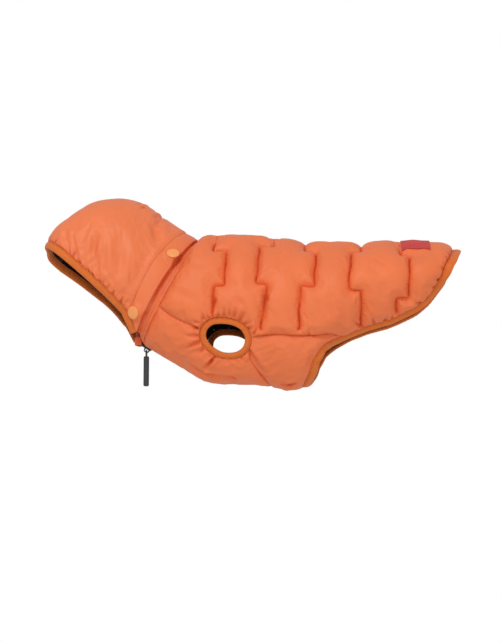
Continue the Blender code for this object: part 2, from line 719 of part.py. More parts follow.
def throat_arc(skin, u):
    """Length along a hood ring from the spine to the throat line."""
    arcs = np.linspace(0.3, 1.0, 200) * skin.half_girth(u)
    points = skin.point(np.full(200, u), -arcs)
    gap = np.hypot(points[:, 0] - THROAT[0], points[:, 2] - THROAT[1])
    return float(arcs[np.argmin(gap)])


hood = Skin([hood_ring(row) for row in HOOD_RINGS])
band = Skin([BAND_FOOT, hood_ring(HOOD_RINGS[0])])
HOOD_STATIONS = np.linspace(0.0, hood.length, 25)
HOOD_THROAT_ARCS = np.array([throat_arc(hood, u) for u in HOOD_STATIONS])
hood.normal_ends = (HOOD_STATIONS, HOOD_THROAT_ARCS - THROAT_FOLD)

# How far the right side of the hood's rim lies tailward, on its way from brow to
# throat: it hangs fuller under the brow and is drawn in toward the throat.
RimShift = namedtuple("RimShift", "share tailward")
RIM_SHIFTS = (RimShift(0.0, -3.0), RimShift(0.10, -2.0), RimShift(0.25, 0.6), RimShift(0.5, 2.8),
              RimShift(0.68, 3.6), RimShift(0.82, 2.0), RimShift(0.94, -0.4), RimShift(1.0, 0.0))
RIM_REACH = 40.0
RIM_SIDE = 25.0


def drawn_in(points):
    """Shift the right side of the hood's rim, less and less away from its edge."""
    brow = np.array([HOOD_RINGS[-1].top_x, HOOD_RINGS[-1].top_z])
    along = np.array(THROAT[:2]) - brow
    length = np.linalg.norm(along)
    along = along / length
    tailward = np.array([-along[1], along[0]])
    way = points[..., (0, 2)] - brow
    shares = np.clip(way @ along / length, 0.0, 1.0)
    shift = smooth_column(*zip(*RIM_SHIFTS), shares.ravel()).reshape(shares.shape)
    side = np.clip(points[..., 1] / RIM_SIDE, 0.0, 1.0)
    shift = shift * side**2 * (3 - 2 * side) * np.exp(-(way @ tailward / RIM_REACH) ** 2)
    moved = points.copy()
    moved[..., (0, 2)] += shift[..., None] * tailward
    return moved


def rolled(points):
    """Turn the hood a little around the collar it is snapped to."""
    centre = np.array([(BAND_FOOT.top_x + BAND_FOOT.low_x) / 2, 0.0,
                       (BAND_FOOT.top_z + BAND_FOOT.low_z) / 2])
    down = np.array([BAND_FOOT.low_x - BAND_FOOT.top_x, 0.0, BAND_FOOT.low_z - BAND_FOOT.top_z])
    axis = Vector((down[2], 0.0, -down[0])).normalized()
    turn = np.array(Matrix.Rotation(math.radians(HOOD_ROLL), 3, axis))
    return (drawn_in(np.asarray(points)) - centre) @ turn.T + centre


def seam_between(spots, first=None, last=None):
    """A seam through spots on the side; its ends may be given as places."""
    places = [body.locate(s) for s in spots]
    if first is not None:
        places[0] = np.asarray(first, float)
    if last is not None:
        places[-1] = np.asarray(last, float)
    return along_spline(places)


def zip_edge(u):
    """Where a front panel stops beside the zip, on the left."""
    return -(body.half_girth(u) - ZIP_HALF_WIDTH)


leg_loop = along_spline([body.locate(s) for s in LEG_HOLE], closed=True, count=LEG_GATHERS * 4)


def loop_index(place):
    return int(np.argmin(np.linalg.norm(leg_loop - place, axis=1)))


def loop_arc(first, last):
    """Places of the leg hole from one index to another, both included."""
    count = len(leg_loop)
    return np.array([leg_loop[(first + i) % count] for i in range((last - first) % count + 1)])


front_at = loop_index(body.locate(FRONT_SIDE_SEAM[-1]))
rear_at = loop_index(body.locate(REAR_SIDE_SEAM[0]))
belly_at = loop_index(body.locate(BELLY_SEAM[0]))

belly_seam_u = body.station_over(BELLY_SEAM_END_X)
hem_start_u = body.station_over(HEM_START_X)
tail_u = body.station_over(TAIL_SEAM_X)
hem_left = [np.array([hem_start_u, zip_edge(hem_start_u)])] + [body.locate(s) for s in HEM_SEAM]
hem_knots = hem_left + [np.array([tail_u, 0.0])] + [k * (1.0, -1.0) for k in reversed(hem_left)]
hem_seam = along_spline(hem_knots)
hem_middle = len(hem_seam) // 2


def hem_index(place):
    """The hem seam's nearest place on the left side."""
    return int(np.argmin(np.linalg.norm(hem_seam[:hem_middle] - place, axis=1)))


side_seam_at = hem_index(body.locate(REAR_SIDE_SEAM[-1]))
front_side_seam = seam_between(FRONT_SIDE_SEAM, last=leg_loop[front_at])
front_side_seam[0][0] = 0.0
rear_side_seam = seam_between(REAR_SIDE_SEAM, first=leg_loop[rear_at], last=hem_seam[side_seam_at])
belly_seam_end = np.array([belly_seam_u, zip_edge(belly_seam_u)])
belly_seam = along_spline([leg_loop[belly_at]] + [body.locate(s) for s in BELLY_SEAM[1:]]
                          + [belly_seam_end])
neck_side_v = front_side_seam[0][1]


def zip_places(first, last):
    """Places of the seam beside the zip, between two stations."""
    stations = np.linspace(first, last, round((last - first) / STITCH_SPACING) + 1)
    return np.array([(u, zip_edge(u)) for u in stations])


def neck_places(first, last):
    """Places of the neck seam, between two lengths from the spine."""
    count = round(abs(last - first) / STITCH_SPACING) + 1
    return np.array([(0.0, v) for v in np.linspace(first, last, count)])


# --------------------------------------------------------------------- gathers
def ripple(phase):
    """A row of soft pleats: round tops and narrow valleys."""
    return np.abs(np.sin(phase)) ** 0.8 - 0.5


leg_walk = divided(leg_loop, 1.0, closed=True)
leg_phase = walk_of(leg_walk) / walk_of(leg_walk)[-1] * math.pi * LEG_GATHERS
hem_walk = divided(hem_seam, 1.0)
hem_steps = walk_of(hem_walk)
hem_walk_x = body.point(hem_walk[:, 0], hem_walk[:, 1])[:, 0]


def leg_gathers(places):
    """Height that the pleats round a leg hole add."""
    near, gap = nearest(places, leg_walk)
    fade = np.exp(-(gap / LEG_GATHER_REACH) ** 2)
    return LEG_GATHER_DEPTH * ripple(leg_phase[near] + 0.4) * fade


def hem_gathers(places):
    """Height that the pleats along the flank's hem add."""
    near, gap = nearest(places, hem_walk)
    x = hem_walk_x[near]
    strength = (np.clip((x - FLANK_START_X) / FLANK_FADE, 0, 1)
                * np.clip((FLANK_END_X - x) / FLANK_FADE, 0, 1))
    wave = ripple(hem_steps[near] / HEM_GATHER_PITCH * math.pi)
    return HEM_GATHER_DEPTH * wave * np.exp(-(gap / HEM_GATHER_REACH) ** 2) * strength


def left_of(places):
    """The same places on the left side."""
    return np.stack([places[:, 0], -np.abs(places[:, 1])], axis=1)


# ------------------------------------------------------------------ back panel
def stitch_corners(line):
    """One quilting line's corners on the left side, from the spine to its foot."""
    def at(x, z):
        return body.locate(Spot(x, z))

    top = np.array([body.station_over(line.spine_x), 0.0])
    step_1 = at(line.spine_x, line.step_1)[1]
    upper_foot = at(line.upper_foot, line.step_2)
    return np.array([top, (top[0], step_1), (at(line.upper_x, line.step_1)[0], step_1),
                     upper_foot, (at(line.lower_x, line.step_2)[0], upper_foot[1]),
                     at(line.foot_x, line.foot_z)])


def with_slack(places, slack=0.0):
    """Stitched points of the body with how slack the thread is at each."""
    points = body.point(places[:, 0], places[:, 1])
    slacks = slack * np.clip(1.0 - np.abs(places[:, 1]) / SPINE_SLACK_REACH, 0.0, 1.0)
    return np.column_stack([points, slacks])


quilting = []
for row in QUILT_LINES:
    left_line = divided(stitch_corners(row), STITCH_SPACING)
    quilting.append(np.vstack([mirrored(left_line)[:-1], left_line]))

back_outline = join(front_side_seam, loop_arc(front_at, rear_at), rear_side_seam,
                    hem_seam[side_seam_at:len(hem_seam) - side_seam_at],
                    mirrored(rear_side_seam), mirrored(loop_arc(front_at, rear_at)),
                    mirrored(front_side_seam), neck_places(-neck_side_v, neck_side_v))
back_stitches = np.vstack([with_slack(divided(back_outline, STITCH_PITCH, closed=True))]
                          + [with_slack(divided(line, STITCH_PITCH), row.spine_slack)
                             for line, row in zip(quilting, QUILT_LINES)])


def back_height(places):
    """Height of the padded back with its gathers."""
    height = pillow(gap_to(with_slack(places), back_stitches), BACK_LOFT, BACK_LOFT_REACH)
    side = left_of(places)
    return height + leg_gathers(side) + hem_gathers(side)


def back_is_fine(places):
    """Where the back needs closer places, for its gathers."""
    side = left_of(places)
    x = body.point(side[:, 0], side[:, 1])[:, 0]
    flank = (x > FLANK_START_X) & (x < FLANK_END_X)
    return ((gap_to(side, leg_walk) < GATHER_MARGIN)
            | flank & (gap_to(side, hem_walk) < GATHER_MARGIN / 2))


label_corners = np.array([(body.station_over(LABEL_START), -LABEL_HALF_FRONT),
                          (body.station_over(LABEL_END), -LABEL_HALF_REAR),
                          (body.station_over(LABEL_END), LABEL_HALF_REAR),
                          (body.station_over(LABEL_START), LABEL_HALF_FRONT)])
label_edge = divided(np.vstack([label_corners, label_corners[:1]]), STITCH_SPACING)


# ----------------------------------------------------- chest and belly panels
def front_height(outline):
    """Height of a plain, lightly padded front panel with its leg gathers."""
    stitches = with_slack(divided(outline, STITCH_PITCH, closed=True))

    def height_at(places):
        gap = gap_to(with_slack(places), stitches)
        folds = fold_heights(body.point(places[:, 0], places[:, 1]), BODY_FOLDS)
        return (pillow(gap, CHEST_LOFT, CHEST_LOFT_REACH) + leg_gathers(places)
                + folds * np.clip(gap / FOLD_FADE, 0.0, 1.0))
    return height_at


def front_is_fine(places):
    """Where a front panel needs closer places, for its gathers and folds."""
    return ((gap_to(places, leg_walk) < GATHER_MARGIN)
            | near_fold(body.point(places[:, 0], places[:, 1]), BODY_FOLDS))


chest_outline = join(zip_places(0.0, belly_seam_u), belly_seam[::-1],
                     loop_arc(belly_at, front_at), front_side_seam[::-1],
                     neck_places(neck_side_v, zip_edge(0.0)))
belly_outline = join(zip_places(belly_seam_u, hem_start_u), hem_seam[:side_seam_at + 1],
                     rear_side_seam[::-1], loop_arc(rear_at, belly_at), belly_seam)


# ------------------------------------------------------------------------ hood
HOOD_FAN = 1.15                # radians that the hood's flat cut opens at the throat
HOOD_THROAT_MARGIN = 3.0       # the panel stops this far short of the throat line


def hood_chart(places):
    """From the hood's flat fan to its skin: the throat is the fan's point."""
    radius = np.hypot(places[:, 0], places[:, 1])
    angle = np.arctan2(places[:, 0], places[:, 1])
    u = np.clip(angle / HOOD_FAN, 0.0, 1.0) * hood.length
    return u, radius - np.interp(u, HOOD_STATIONS, HOOD_THROAT_ARCS)


def on_fan(u, from_spine):
    """Places in the fan, from their stations and lengths from the spine."""
    radius = np.interp(u, HOOD_STATIONS, HOOD_THROAT_ARCS) - from_spine
    angle = u / hood.length * HOOD_FAN
    return np.stack(np.broadcast_arrays(radius * np.sin(angle), radius * np.cos(angle)), axis=-1)


face_arc, band_arc = float(HOOD_THROAT_ARCS[-1]), float(HOOD_THROAT_ARCS[0])
hood_face_edge = on_fan(hood.length,
                        np.linspace(face_arc - HOOD_THROAT_MARGIN, 0.0, FACE_GATHERS * 4 + 1))
hood_centre_seam = on_fan(np.linspace(hood.length, 0.0, 24), 0.0)
hood_band_edge = on_fan(0.0, np.linspace(0.0, band_arc - HOOD_THROAT_MARGIN, 18))
hood_outline = join(hood_face_edge, hood_centre_seam, hood_band_edge)
hood_edge_walk = divided(hood_face_edge, 1.0)
hood_edge_phase = np.linspace(0.0, math.pi * FACE_GATHERS, len(hood_edge_walk))
FACE_GATHER_END = 15.0         # how far from the edge's ends its gathers fade


def hood_height(places):
    """Height of the hood's plain wall, with its gathers and folds."""
    near, gap = nearest(places, hood_edge_walk)
    ends = np.clip(np.minimum(near, len(hood_edge_walk) - near) / FACE_GATHER_END, 0, 1)
    gathers = ripple(hood_edge_phase[near]) * np.exp(-(gap / FACE_GATHER_REACH) ** 2) * ends
    seams = gap_to(places, divided(hood_outline, STITCH_PITCH, closed=True))
    folds = fold_heights(hood.point(*hood_chart(places)), HOOD_FOLDS)
    return (HOOD_WALL + FACE_GATHER_DEPTH * gathers
            + folds * np.clip(seams / FOLD_FADE, 0.0, 1.0))


def hood_is_fine(places):
    """Where the hood needs closer places, for its gathers and folds."""
    return ((gap_to(places, hood_edge_walk) < GATHER_MARGIN)
            | near_fold(hood.point(*hood_chart(places)), HOOD_FOLDS))


# ------------------------------------------------------------- band and collar
band_foot_arc = -float(band.locate(Spot(*BAND_FOOT_END))[1])
collar_arc = float(body.half_girth(0.0)) - ZIP_HALF_WIDTH - COLLAR_END_MARGIN
band_shares = np.linspace(-1.0, 1.0, BAND_SECTIONS)


def band_edges(shares):
    """The band's foot and head with their normals, from one end to the other."""
    zero, full = np.zeros(len(shares)), np.full(len(shares), band.length)
    foot_arcs, head_arcs = shares * band_foot_arc, shares * band_arc
    foot, head = band.point(zero, foot_arcs), band.point(full, head_arcs)
    return (foot, head, band.normal(zero, foot_arcs), hood.normal(zero, head_arcs),
            unit(head - foot))


def band_sections(shares):
    trimmed = shares * (1.0 - BAND_END_GAP / band_arc)
    foot, head, foot_out, head_out, across = band_edges(trimmed)
    head = head - across * SEAM_GAP / 2
    middle, middle_out = (foot + head) / 2, unit(foot_out + head_out)
    return np.stack([foot, foot + foot_out * (BAND_WALL - BAND_FOOT_EASE),
                     middle + middle_out * (BAND_WALL + BAND_CROWN),
                     head + head_out * BAND_WALL, head, middle + middle_out * 0.1], axis=1)


def collar_sections(shares):
    """From the neck seam up to the middle of the band, which lies over it."""
    foot, head, foot_out, head_out, across = band_edges(shares)
    zero, seam_arcs = np.zeros(len(shares)), shares * collar_arc
    seam, seam_out = body.point(zero, seam_arcs), body.normal(zero, seam_arcs)
    next_ring = body.point(zero + 2.0, seam_arcs)
    seam = seam - unit(next_ring - seam) * SEAM_GAP / 2
    under = -SEAM_GAP - COLLAR_UNDERLAP
    low_foot = foot - across * COLLAR_TUCK
    middle, middle_out = (foot + head) / 2, unit(foot_out + head_out)
    return np.stack([
        seam, seam + seam_out * CLOTH_EDGE,
        rolled(low_foot + foot_out * under), rolled(middle + middle_out * under),
        rolled(middle + middle_out * (under - COLLAR_WALL)),
        rolled(low_foot + foot_out * (under - COLLAR_WALL))], axis=1)


def guard_sections():
    """The guard's sections, from one end around the front of the zip to the other."""
    turns = np.linspace(-math.pi / 2, math.pi / 2, GUARD_STEPS)
    depth = GUARD_FRONT_X - GUARD_BACK_X
    path = np.stack([GUARD_BACK_X + depth * np.cos(turns), GUARD_HALF_WIDTH * np.sin(turns)],
                    axis=1)
    heading = unit(np.gradient(path, axis=0))
    inward = np.stack([heading[:, 1], -heading[:, 0]], axis=1)
    fold = GUARD_WALL * 0.4
    profile = ((0.0, GUARD_LOW_Z + fold), (0.0, GUARD_TOP_Z - fold), (fold, GUARD_TOP_Z),
               (GUARD_WALL - fold, GUARD_TOP_Z), (GUARD_WALL, GUARD_TOP_Z - fold),
               (GUARD_WALL, GUARD_LOW_Z + fold), (GUARD_WALL - fold, GUARD_LOW_Z),
               (fold, GUARD_LOW_Z))
    return [[(*(place + way * deep), z) for deep, z in profile]
            for place, way in zip(path, inward)]


# -------------------------------------------------------------------- hardware
def box_points(x_half, y_half, z_low, z_high):
    return [(x, y, z) for z in (z_low, z_high) for y in (-y_half, y_half) for x in (-x_half, x_half)]


BOX_FACES = ((0, 2, 3, 1), (4, 5, 7, 6), (0, 1, 5, 4), (2, 6, 7, 3), (0, 4, 6, 2), (1, 3, 7, 5))


def rounded_box(x_half, y_half, z_low, z_high, radius, segments=2):
    """A bmesh box with all its edges rounded."""
    shape = bmesh.new()
    corners = [shape.verts.new(p) for p in box_points(x_half, y_half, z_low, z_high)]
    for face in BOX_FACES:
        shape.faces.new([corners[i] for i in face])
    bmesh.ops.bevel(shape, geom=list(shape.edges), offset=radius, segments=segments,
                    affect="EDGES", profile=0.5)
    return shape


def finish_object(name, shape, finish, matrix):
    """Turn a bmesh in millimetres into a named object placed by a matrix."""
    bmesh.ops.recalc_face_normals(shape, faces=list(shape.faces))
    bmesh.ops.scale(shape, vec=(MM, MM, MM), verts=list(shape.verts))
    mesh = bpy.data.meshes.new(name)
    shape.to_mesh(mesh)
    shape.free()
    mesh.shade_smooth()
    mesh.set_sharp_from_angle(angle=math.radians(35))
    mesh.materials.append(material(name, finish))
    made = bpy.data.objects.new(name, mesh)
    bpy.context.scene.collection.objects.link(made)
    made.matrix_world = matrix
    return made


def zip_frame():
    """The zip at the neck: its origin, its direction and its outward normal."""
    later_u = SLIDER_AT + SLIDER_LENGTH
    start = body.point(0.0, -float(body.half_girth(0.0)))
    later = body.point(later_u, -float(body.half_girth(later_u)))
    along = unit(later - start)
    out = np.array([along[2], 0.0, -along[0]])
    return start, along, out


def unite(part, name, shape, finish, place):
    """Join another shape to a part for good."""
    other = finish_object(name, shape, finish, place)
    other.hide_render = True
    other.display_type = "WIRE"
    union = part.modifiers.new(name, "BOOLEAN")
    union.operation = "UNION"
    union.solver = "EXACT"
    union.object = other


def build_slider():
    """The slider's body with a bridge over it, united into one piece."""
    start, along, out = zip_frame()
    turn = Matrix((along, (0.0, -1.0, 0.0), out)).transposed().to_4x4()
    place = Matrix.Translation(Vector(start + along * SLIDER_AT) * MM) @ turn
    shape = rounded_box(SLIDER_LENGTH / 2, SLIDER_WIDTH / 2, SLIDER_LOW, SLIDER_HIGH, SLIDER_ROUND)
    for vert in shape.verts:
        if vert.co.x > 0:
            vert.co.y *= 1.0 - SLIDER_TAPER * vert.co.x / (SLIDER_LENGTH / 2)
    slider = finish_object("zip_slider", shape, SLIDER_METAL, place)

    pin_x = PIN_AT - SLIDER_AT
    bar_low = PIN_LIFT + PIN_RADIUS + PIN_PLAY
    foot = SLIDER_HIGH - BRIDGE_SINK
    half, window = BRIDGE_LENGTH / 2, BRIDGE_WINDOW / 2
    rows = ((-half, foot), (-window, foot), (-window, bar_low), (window, bar_low), (window, foot),
            (half, foot), (half - BRIDGE_SHOULDER, bar_low + 0.1),
            (half - BRIDGE_SLOPE, bar_low + BRIDGE_BAR), (BRIDGE_SLOPE - half, bar_low + BRIDGE_BAR),
            (BRIDGE_SHOULDER - half, bar_low + 0.1))
    bridge = bmesh.new()
    side = bridge.faces.new([bridge.verts.new((x + pin_x, -BRIDGE_WIDTH / 2, z)) for x, z in rows])
    grown = bmesh.ops.extrude_face_region(bridge, geom=[side])
    moved = [g for g in grown["geom"] if isinstance(g, bmesh.types.BMVert)]
    bmesh.ops.translate(bridge, verts=moved, vec=(0.0, BRIDGE_WIDTH, 0.0))
    bmesh.ops.triangulate(bridge, faces=list(bridge.faces))
    unite(slider, "zip_slider_bridge", bridge, SLIDER_METAL, place)


def build_pull():
    """The pull: a pin through the bridge, two arms and a rubber tab, one piece."""
    start, along, out = zip_frame()
    place = Matrix.Translation(Vector(start + along * PIN_AT + out * PIN_LIFT) * MM)
    foot = -PULL_ARM_DROP - PULL_ARM_FOOT
    window_foot = -PULL_ARM_DROP + PULL_WINDOW_FOOT
    loops = (((-PULL_ARM_OUT, PIN_RADIUS), (PULL_ARM_OUT, PIN_RADIUS), (PULL_ARM_OUT, foot),
              (-PULL_ARM_OUT, foot)),
             ((-PULL_ARM_IN, -PIN_RADIUS), (PULL_ARM_IN, -PIN_RADIUS), (PULL_ARM_IN, window_foot),
              (-PULL_ARM_IN, window_foot)))
    shape = bmesh.new()
    (outer_a, inner_a), (outer_b, inner_b) = (
        [[shape.verts.new((x, y, z)) for y, z in loop] for loop in loops]
        for x in (-PULL_ARM_HALF, PULL_ARM_HALF))
    for i in range(4):
        j = (i + 1) % 4
        shape.faces.new((outer_a[i], outer_a[j], inner_a[j], inner_a[i]))
        shape.faces.new((outer_b[j], outer_b[i], inner_b[i], inner_b[j]))
        shape.faces.new((outer_a[j], outer_a[i], outer_b[i], outer_b[j]))
        shape.faces.new((inner_a[i], inner_a[j], inner_b[j], inner_b[i]))
    pull = finish_object("zip_pull", shape, PULL_RUBBER, place)
    tab = rounded_box(PULL_TAB_WIDE / 2, PULL_TAB_DEEP / 2, -PULL_TAB_END, -PULL_TAB_TOP,
                      PULL_TAB_ROUND)
    unite(pull, "zip_pull_tab", tab, PULL_RUBBER, place)


def snap_place(snap, side):
    """Where a snap cap sits on one side of the band, and which way it faces."""
    foot, head, foot_out, head_out, across = band_edges(np.array([snap.share * side]))
    out = unit(foot_out[0] + head_out[0])
    centre = (foot[0] + head[0]) / 2 + across[0] * snap.off_middle
    base = rolled(centre)
    cloth_out = unit(rolled(centre + out) - base)
    facing = unit(cloth_out + np.array([snap.tip_x, 0.0, snap.tip_z]))
    tipped = math.acos(min(1.0, float(cloth_out @ facing)))
    lift = BAND_WALL + BAND_CROWN + SEAM_GAP + SNAP_DIAMETER / 2 * math.sin(tipped)
    return base + cloth_out * lift, facing


def build_snap(name, snap, side):
    """A domed snap cap on the band, its flat back just clear of the cloth."""
    centre, facing = snap_place(snap, side)
    radius = SNAP_DIAMETER / 2
    profile = ((radius - 0.4, 0.0), (radius, SNAP_RIM), (radius - 0.5, SNAP_RIM + 0.7),
               (radius * 0.6, SNAP_HEIGHT - 0.2))
    shape = bmesh.new()
    turns = [2 * math.pi * k / SNAP_SIDES for k in range(SNAP_SIDES)]
    rings = [[shape.verts.new((r * math.cos(t), r * math.sin(t), z)) for t in turns]
             for r, z in profile]
    for low, high in zip(rings, rings[1:]):
        for k in range(SNAP_SIDES):
            n = (k + 1) % SNAP_SIDES
            shape.faces.new((low[k], low[n], high[n], high[k]))
    shape.faces.new(list(reversed(rings[0])))
    peak = shape.verts.new((0.0, 0.0, SNAP_HEIGHT))
    for k in range(SNAP_SIDES):
        shape.faces.new((rings[-1][k], rings[-1][(k + 1) % SNAP_SIDES], peak))
    turn = Vector((0, 0, 1)).rotation_difference(Vector(facing)).to_matrix().to_4x4()
    finish_object(name, shape, SNAP_PLASTIC, Matrix.Translation(Vector(centre) * MM) @ turn)


# ----------------------------------------------------------------------- build
def clear_scene():
    for old in list(bpy.data.objects):
        bpy.data.objects.remove(old, do_unlink=True)


def build_back():
    panel = Panel(body, inset(back_outline, SEAM_GAP / 2), back_height, back_is_fine,
                  PANEL_SPACING, lines=quilting + [label_edge])
    panel.build("back_panel", ORANGE_SHELL)
    panel.build_patch("label", LABEL_CLOTH, label_corners, SEAM_GAP, SEAM_GAP + LABEL_WALL)


def build_front():
    for part_name, outline in (("chest", chest_outline), ("belly", belly_outline)):
        panel = Panel(body, inset(outline, SEAM_GAP / 2), front_height(outline), front_is_fine,
                      FRONT_SPACING)
        panel.build(part_name + "_left", ORANGE_SHELL)
        panel.build(part_name + "_right", ORANGE_SHELL, flip=True)


def build_hood():
    panel = Panel(hood, inset(hood_outline, SEAM_GAP / 2), hood_height, hood_is_fine,
                  HOOD_SPACING, chart=hood_chart)
    panel.build("hood_left", HOOD_SHELL, place=rolled)
    panel.build("hood_right", HOOD_SHELL, place=rolled, flip=True)
    loft("hood_band", band_sections(band_shares), HOOD_SHELL, place=rolled)
    loft("collar", collar_sections(band_shares), ORANGE_SHELL)
    loft("zip_guard", guard_sections(), GUARD_CLOTH)


def face_binding_path():
    """The left half of the face opening, from the band's foot up to the spine."""
    foot, head, foot_out, head_out, _ = band_edges(np.array([-1.0]))
    u, v = hood_chart(hood_face_edge)
    edge, edge_out = hood.point(u, v), hood.normal(u, v)
    band_end = [foot[0], (foot[0] + head[0]) / 2]
    band_end_out = [foot_out[0], unit(foot_out[0] + head_out[0])]
    return np.vstack([band_end, edge]), np.vstack([band_end_out, edge_out])


FLIP = np.array([1.0, -1.0, 1.0])


def build_face_binding():
    points, normals = face_binding_path()
    points = np.vstack([points, points[-2::-1] * FLIP])
    normals = np.vstack([normals, normals[-2::-1] * FLIP])
    profile = strip_profile(FACE_BINDING_WIDTH, BINDING_THICKNESS)
    loft("hood_binding", binding_sections(points, normals, profile, side=-1.0), BINDING_CLOTH,
         place=rolled)


def build_hem_binding():
    """The hem's binding, cut off at each end along the zip."""
    beside_zip = hem_start_u + np.array([0.0, HEM_WIDTH])
    corner, tip = body.point(beside_zip, zip_edge(beside_zip))
    along_zip = unit(tip - corner)
    sections = binding_sections(body.point(*hem_seam.T), body.normal(*hem_seam.T),
                                strip_profile(HEM_WIDTH, HEM_THICKNESS),
                                ends=(along_zip, along_zip * FLIP))
    loft("hem_binding", sections, BINDING_CLOTH)


def build_leg_bindings():
    sections = np.array(binding_sections(body.point(*leg_loop.T), body.normal(*leg_loop.T),
                                         strip_profile(LEG_BINDING_WIDTH, BINDING_THICKNESS),
                                         closed=True))
    loft("leg_binding_left", sections, BINDING_CLOTH, closed=True)
    loft("leg_binding_right", sections * FLIP, BINDING_CLOTH, closed=True)


def build_zip():
    first = SLIDER_AT + SLIDER_LENGTH / 2 + ZIP_CLEARANCE
    stations = np.linspace(first, body.station_over(ZIP_END_X), 22)
    arcs = -body.half_girth(stations)
    half = ZIP_HALF_WIDTH - SEAM_GAP
    profile = ((-half, ZIP_TAPE_LIFT), (-half, ZIP_TAPE_WALL), (-ZIP_COIL_HALF, ZIP_TAPE_WALL),
               (-ZIP_COIL_HALF + 0.4, ZIP_COIL_HEIGHT), (ZIP_COIL_HALF - 0.4, ZIP_COIL_HEIGHT),
               (ZIP_COIL_HALF, ZIP_TAPE_WALL), (half, ZIP_TAPE_WALL), (half, ZIP_TAPE_LIFT))
    sections = binding_sections(body.point(stations, arcs), body.normal(stations, arcs), profile)
    loft("zip_strip", sections, ZIP_CLOTH)
    build_slider()
    build_pull()


def build_snaps():
    for side, sign in (("left", -1.0), ("right", 1.0)):
        for snap in SNAPS:
            build_snap(f"snap_{snap.name}_{side}", snap, sign)


clear_scene()
build_back()
build_front()
build_hood()
build_face_binding()
build_hem_binding()
build_leg_bindings()
build_zip()
build_snaps()
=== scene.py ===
"""The looks of a hooded, quilted winter coat for a small dog.

The wearer's head is at -X, the tail at +X and +Z is up. The origin is on the
lining over the spine at the withers, and the coat's left side is at -Y. Sizes
are millimetres until a mesh is made.

Every cloth piece lies on a skin, a smooth surface through a table of rings. A
place on a skin is (u, v): u runs along the wearer, v around the ring from the
spine, with the left side negative.
"""
import math
from collections import namedtuple

import bpy
import numpy as np
from mathutils import Matrix, Vector, geometry


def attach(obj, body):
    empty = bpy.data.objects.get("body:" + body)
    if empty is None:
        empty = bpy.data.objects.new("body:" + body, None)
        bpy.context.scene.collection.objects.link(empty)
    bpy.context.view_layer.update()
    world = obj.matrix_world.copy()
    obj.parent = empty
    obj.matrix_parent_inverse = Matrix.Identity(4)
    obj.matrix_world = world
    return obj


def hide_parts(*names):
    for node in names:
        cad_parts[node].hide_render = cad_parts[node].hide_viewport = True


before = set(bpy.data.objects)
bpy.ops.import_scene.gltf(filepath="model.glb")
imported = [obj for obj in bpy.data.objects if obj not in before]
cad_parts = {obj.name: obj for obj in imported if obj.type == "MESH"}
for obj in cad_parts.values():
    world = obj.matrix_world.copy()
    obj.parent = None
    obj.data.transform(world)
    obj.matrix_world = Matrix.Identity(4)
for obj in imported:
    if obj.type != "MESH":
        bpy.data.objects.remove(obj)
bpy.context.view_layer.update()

MM = 0.001

# ---- the coat's cut
SEAM_GAP = 0.12
BACK_LOFT, BACK_LOFT_REACH = 11.0, 18.0
CHEST_LOFT, CHEST_LOFT_REACH = 5.5, 14.0
HOOD_LOFT, HOOD_LOFT_REACH = 4.2, 9.0
BAND_LOFT = 3.6
ZIP_HALF_WIDTH = 4.0
ZIP_END_X = 88.0
HOOD_ROLL = 7.5               # degrees
SNAP_DIAMETER = 15.0
BAND_END_GAP = 1.2
COLLAR_WALL = 2.6
SEWN_HEIGHT = 2.2             # shell over lining where the two are sewn together
CLOTH_SPACING = 2.3
LINING_SPACING = 6.0
SEAM_DOTS, FINE_SEAM_DOTS = 1.2, 0.7  # how far apart the dots are that stand for a seam
STRIP_SPACING = 1.3
LEG_PLACES, LEG_STRIP_PLACES = 76, 150
LABEL_START, LABEL_END = 192.8, 225.0
LABEL_HALF_FRONT, LABEL_HALF_REAR = 27.3, 32.5
LABEL_LIFT, LABEL_THICKNESS = 0.9, 0.5
GUARD_HALF_WIDTH = 9.0
GUARD_FRONT_X, GUARD_BACK_X = -111.6, -102.8
GUARD_TOP_Z, GUARD_LOW_Z = -101.0, -116.6

Strip = namedtuple("Strip", "width thickness cut_width")
FACE_STRIP = Strip(9.0, 4.2, 14.0)
HEM_STRIP = Strip(9.5, 4.4, 15.0)
LEG_STRIP = Strip(7.4, 4.2, 12.0)

